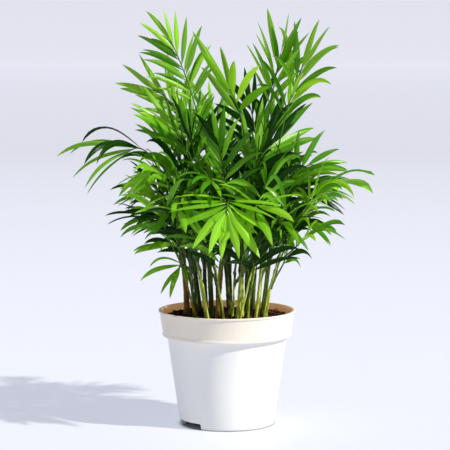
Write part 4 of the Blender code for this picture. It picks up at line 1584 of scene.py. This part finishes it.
cane_skins = {"green": cane_green, "lime": cane_lime, "brown": cane_brown}
cane_piles = {name: Pile() for name in cane_skins}
cane_nodes = {name: [] for name in cane_skins}
for number, cane in enumerate(CANES):
    skin = "lime" if number in LIME_CANES else "brown" if number in BROWN_CANES else "green"
    cane_piles[skin].add(*fine_cane(number, cane))
    if number < main_canes:
        cane_nodes[skin].append(f"cane_{number + 1:02d}")
for name, pile in cane_piles.items():
    lay(pile, "canes_" + name, cane_nodes[name], "cane", cane_skins[name])

# %% [markdown]
# Stalks and sheaths
#
# A stalk swells where it joins its cane, and a sheath wraps the cane below it and carries it off. The
# solids leave a thin gap there, which the sheath closes. Both are tubes whose radius changes along the way.

# %% Shape the stalks and sheaths
RIB_FACETS = 8
RIB_STEPS = 30
STALK_EASE = 0.8
STALK_SWELL = 0.75
SWELL_REACH = 0.06
SHEATH_LENGTH = 9 * MM
SHEATH_STEPS = 6
SHEATH_LOWEST = 0.02
SHEATH_EASE = 1.05
SHEATH_LEAN = 0.42
SHEATH_SWELL = 0.36
MOUTH_LENGTH = 1.8 * MM
MOUTH_LEAN = 0.3
MOUTH_RADIUS = 0.55


def fine_rib(line, turn):
    """Points and faces of a stalk and rib, thickened into a sheath at its foot."""
    shares = [k / RIB_STEPS for k in range(RIB_STEPS + 1)]
    centres = [bend(*line, t) for t in shares]
    radii = []
    for t in shares:
        plain = STALK_RADIUS + (RIB_TIP_RADIUS - STALK_RADIUS) * t
        radii.append(plain * (STALK_EASE + STALK_SWELL * bump(t, SWELL_REACH)))
    ridges = [rib_frame(line, turn, t)[2] for t in shares]
    return tube(centres, radii, RIB_FACETS, pointed=True, ridges=ridges)


def sheath(line, frond):
    """Points and faces of the sheath that clasps the cane below a stalk and carries it off the cane."""
    cane = CANES[frond.cane]
    axis = cane_line(cane)
    offset = line[0] - bend(*axis, frond.share)
    depth = SHEATH_LENGTH / (cane.height * MM)
    centres, radii = [], []
    for k in range(SHEATH_STEPS + 1):
        along = k / SHEATH_STEPS
        t = max(SHEATH_LOWEST, frond.share - depth * (1 - along))
        centres.append(bend(*axis, t) + offset * SHEATH_LEAN * along**2)
        radii.append(cane_radius(cane, t) * SHEATH_EASE + offset.length * SHEATH_SWELL * along**2)
    ahead = (line[1] - line[0]).normalized()
    centres.append(centres[-1] + ahead * MOUTH_LENGTH + offset * MOUTH_LEAN)
    radii.append(radii[-1] * MOUTH_RADIUS)
    return tube(centres, radii, RIB_FACETS, pointed=True)


print("a stalk has", RIB_STEPS, "steps and a sheath", SHEATH_STEPS)

# %% [markdown]
# Blades
#
# A leaflet is lance-shaped, folded along its midrib, and twists a little. It is a strip of four faces
# across and twelve along, which is enough for the fold and the bend to catch the light, and few enough for
# many hundreds. Its map runs across and along it, for the veins.

# %% Shape the blades
BLADE_STEPS = 12
COLUMNS = (-1.0, -0.52, 0.0, 0.52, 1.0)
WIDEST_POWER = 0.86
FULLNESS = 0.78
ROOT_FULLNESS = 0.45
ROOT_OPENING = 2.4
ROOT_EDGE = 0.12 * MM
FOLD = 0.38
FOLD_POWER = 1.3
TWIST = 0.5
RIPPLE = 0.05
RIPPLE_TURNS = 9


def blade_width(share):
    """A leaflet's width at a share of its length, as a share of its greatest width."""
    full = max(0.0, math.sin(math.pi * min(1.0, share) ** WIDEST_POWER)) ** FULLNESS
    return full * min(1.0, ROOT_FULLNESS + ROOT_OPENING * share)


def fine_leaf(leaf, chance, wider=1.0):
    """Points, faces and map of one leaflet as a folded, slightly twisted blade."""
    middle = leaf_middle(leaf, [k / BLADE_STEPS for k in range(BLADE_STEPS + 1)])
    twist = chance.uniform(-TWIST, TWIST)
    wave = chance.uniform(0, FULL_TURN)
    points, uvs, faces = [], [], []
    for k, (centre, side, normal) in enumerate(middle):
        share = k / BLADE_STEPS
        half = leaf.width * wider * 0.5 * blade_width(share) + ROOT_EDGE * (1 - share)
        angle = twist * share
        turned = side * math.cos(angle) + normal * math.sin(angle)
        upper = normal * math.cos(angle) - side * math.sin(angle)
        ripple = 1 + RIPPLE * math.sin(wave + RIPPLE_TURNS * share)
        for column in COLUMNS:
            sag = FOLD * abs(column) ** FOLD_POWER * half
            points.append(centre + turned * column * half * ripple - upper * sag)
            uvs.append((0.5 + column / 2, share))
    row = len(COLUMNS)
    for k in range(BLADE_STEPS):
        for c in range(row - 1):
            a = k * row + c
            faces.append((a, a + 1, a + 1 + row, a + row))
    return points, faces, uvs


print("a blade has", BLADE_STEPS * (len(COLUMNS) - 1), "faces")

# %% [markdown]
# Tints
#
# The colour of a spray comes from its age and its light, and the light is painted into the tints: lime on
# the bright, sunlit fronds in front, fresh green on the outer ones, deep green as painted shade inside and
# behind, and one frond turning yellow. Each frond has its tint, and some of its leaflets are dealt the next
# darker or lighter one, partly as a real frond varies and partly as painted light and shade between them.

# %% Deal the tints
# Steps along the order of tints, of which each leaflet is dealt one by chance
TINT_STEPS = (-1, -1, 0, 0, 0, 1, 1)
# In order from the darkest tint, painted shade, to the brightest, partly painted sunlight
TINT_ORDER = ("deep", "leaf", "fresh", "lime")
# Each frond's tint, chosen partly by the sunlight or shade painted on it
FROND_TINTS = {
    "lime": (11, 12),
    "fresh": (0, 1, 2, 3, 4, 6, 8, 9, 10, 15, 16, 17, 18, 20),
    "yellow": (5,),
    "leaf": (7, 13, 14, 19, 21, 22, 23, 24, 26, 27, 29, 31, 38, 39),
    "deep": (25, 28, 30, 32, 33, 34, 35, 36, 37),
}
# Fronds whose leaflets are wider or narrower than the plan's
LEAF_WIDTHS = {0: 0.88, 1: 1.15, 2: 0.9, 3: 0.88, 7: 0.8, 9: 1.2, 10: 1.2, 11: 1.4, 12: 1.35, 15: 1.4}
FROND_NODES = [f"frond_{number + 1:02d}" for number in range(len(FRONDS))]
tint_of = {number: tint for tint, numbers in FROND_TINTS.items() for number in numbers}
blades = {tint: Pile() for tint in LEAF_TINTS}
tint_nodes = {tint: set() for tint in LEAF_TINTS}


def dealt_tint(tint, chance):
    """A frond's tint, or for some of its leaflets the next darker or lighter one."""
    if tint not in TINT_ORDER:
        return tint
    place_in_order = TINT_ORDER.index(tint) + chance.choice(TINT_STEPS)
    return TINT_ORDER[max(0, min(len(TINT_ORDER) - 1, place_in_order))]


def add_leaves(leaves, tint, seed, node, wider=1.0):
    """A frond's leaflets, each in its pile."""
    chance = random.Random(seed)
    for leaf in leaves:
        dealt = dealt_tint(tint, chance)
        blades[dealt].add(*fine_leaf(leaf, chance, wider))
        tint_nodes[dealt].add(node)


print({tint: len(numbers) for tint, numbers in FROND_TINTS.items()}, "fronds")

# %% [markdown]
# The fronds
#
# Every frond's blades go to the pile of their tint, and its stalk and sheath to theirs. A young frond has
# no solid of its own, so its leaflets stand with the nearest frond's. Each pile then becomes one piece that
# replaces the fronds it holds.

# %% Gather the fronds
FROND_SEED = 2000
YOUNG_TINT_SEED = 4000
LIT_EVERY = 3
stalks, sheaths = Pile(), Pile()
for number, (frond, line) in enumerate(zip(FRONDS, rib_lines)):
    wider = LEAF_WIDTHS.get(number, 1.0)
    add_leaves(kept_leaves[number], tint_of[number], FROND_SEED + number, FROND_NODES[number], wider)
    stalks.add(*fine_rib(line, frond.turn))
    sheaths.add(*sheath(line, frond))
for number, (frond, line, leaves) in enumerate(young):
    nearest = min(range(len(FRONDS)), key=lambda n: (Vector(FRONDS[n].tip) - Vector(frond.tip)).length)
    on_front_shoot = frond.cane >= main_canes + len(SHOOTS)
    # Young fronds inside the crown are deep green as painted shade; every third one and those on front shoots
    # are mid green as painted light
    tint = "leaf" if on_front_shoot or number % LIT_EVERY == 0 else "deep"
    add_leaves(leaves, tint, YOUNG_TINT_SEED + number, FROND_NODES[nearest])
    stalks.add(*fine_rib(line, frond.turn))
    sheaths.add(*sheath(line, frond))
for tint, pile in blades.items():
    lay(pile, "leaflets_" + tint, sorted(tint_nodes[tint]), "frond", leaf_skins[tint])
lay(stalks, "stalks", FROND_NODES, "frond", stalk_green)
lay(sheaths, "sheaths", FROND_NODES, "frond", sheath_green)
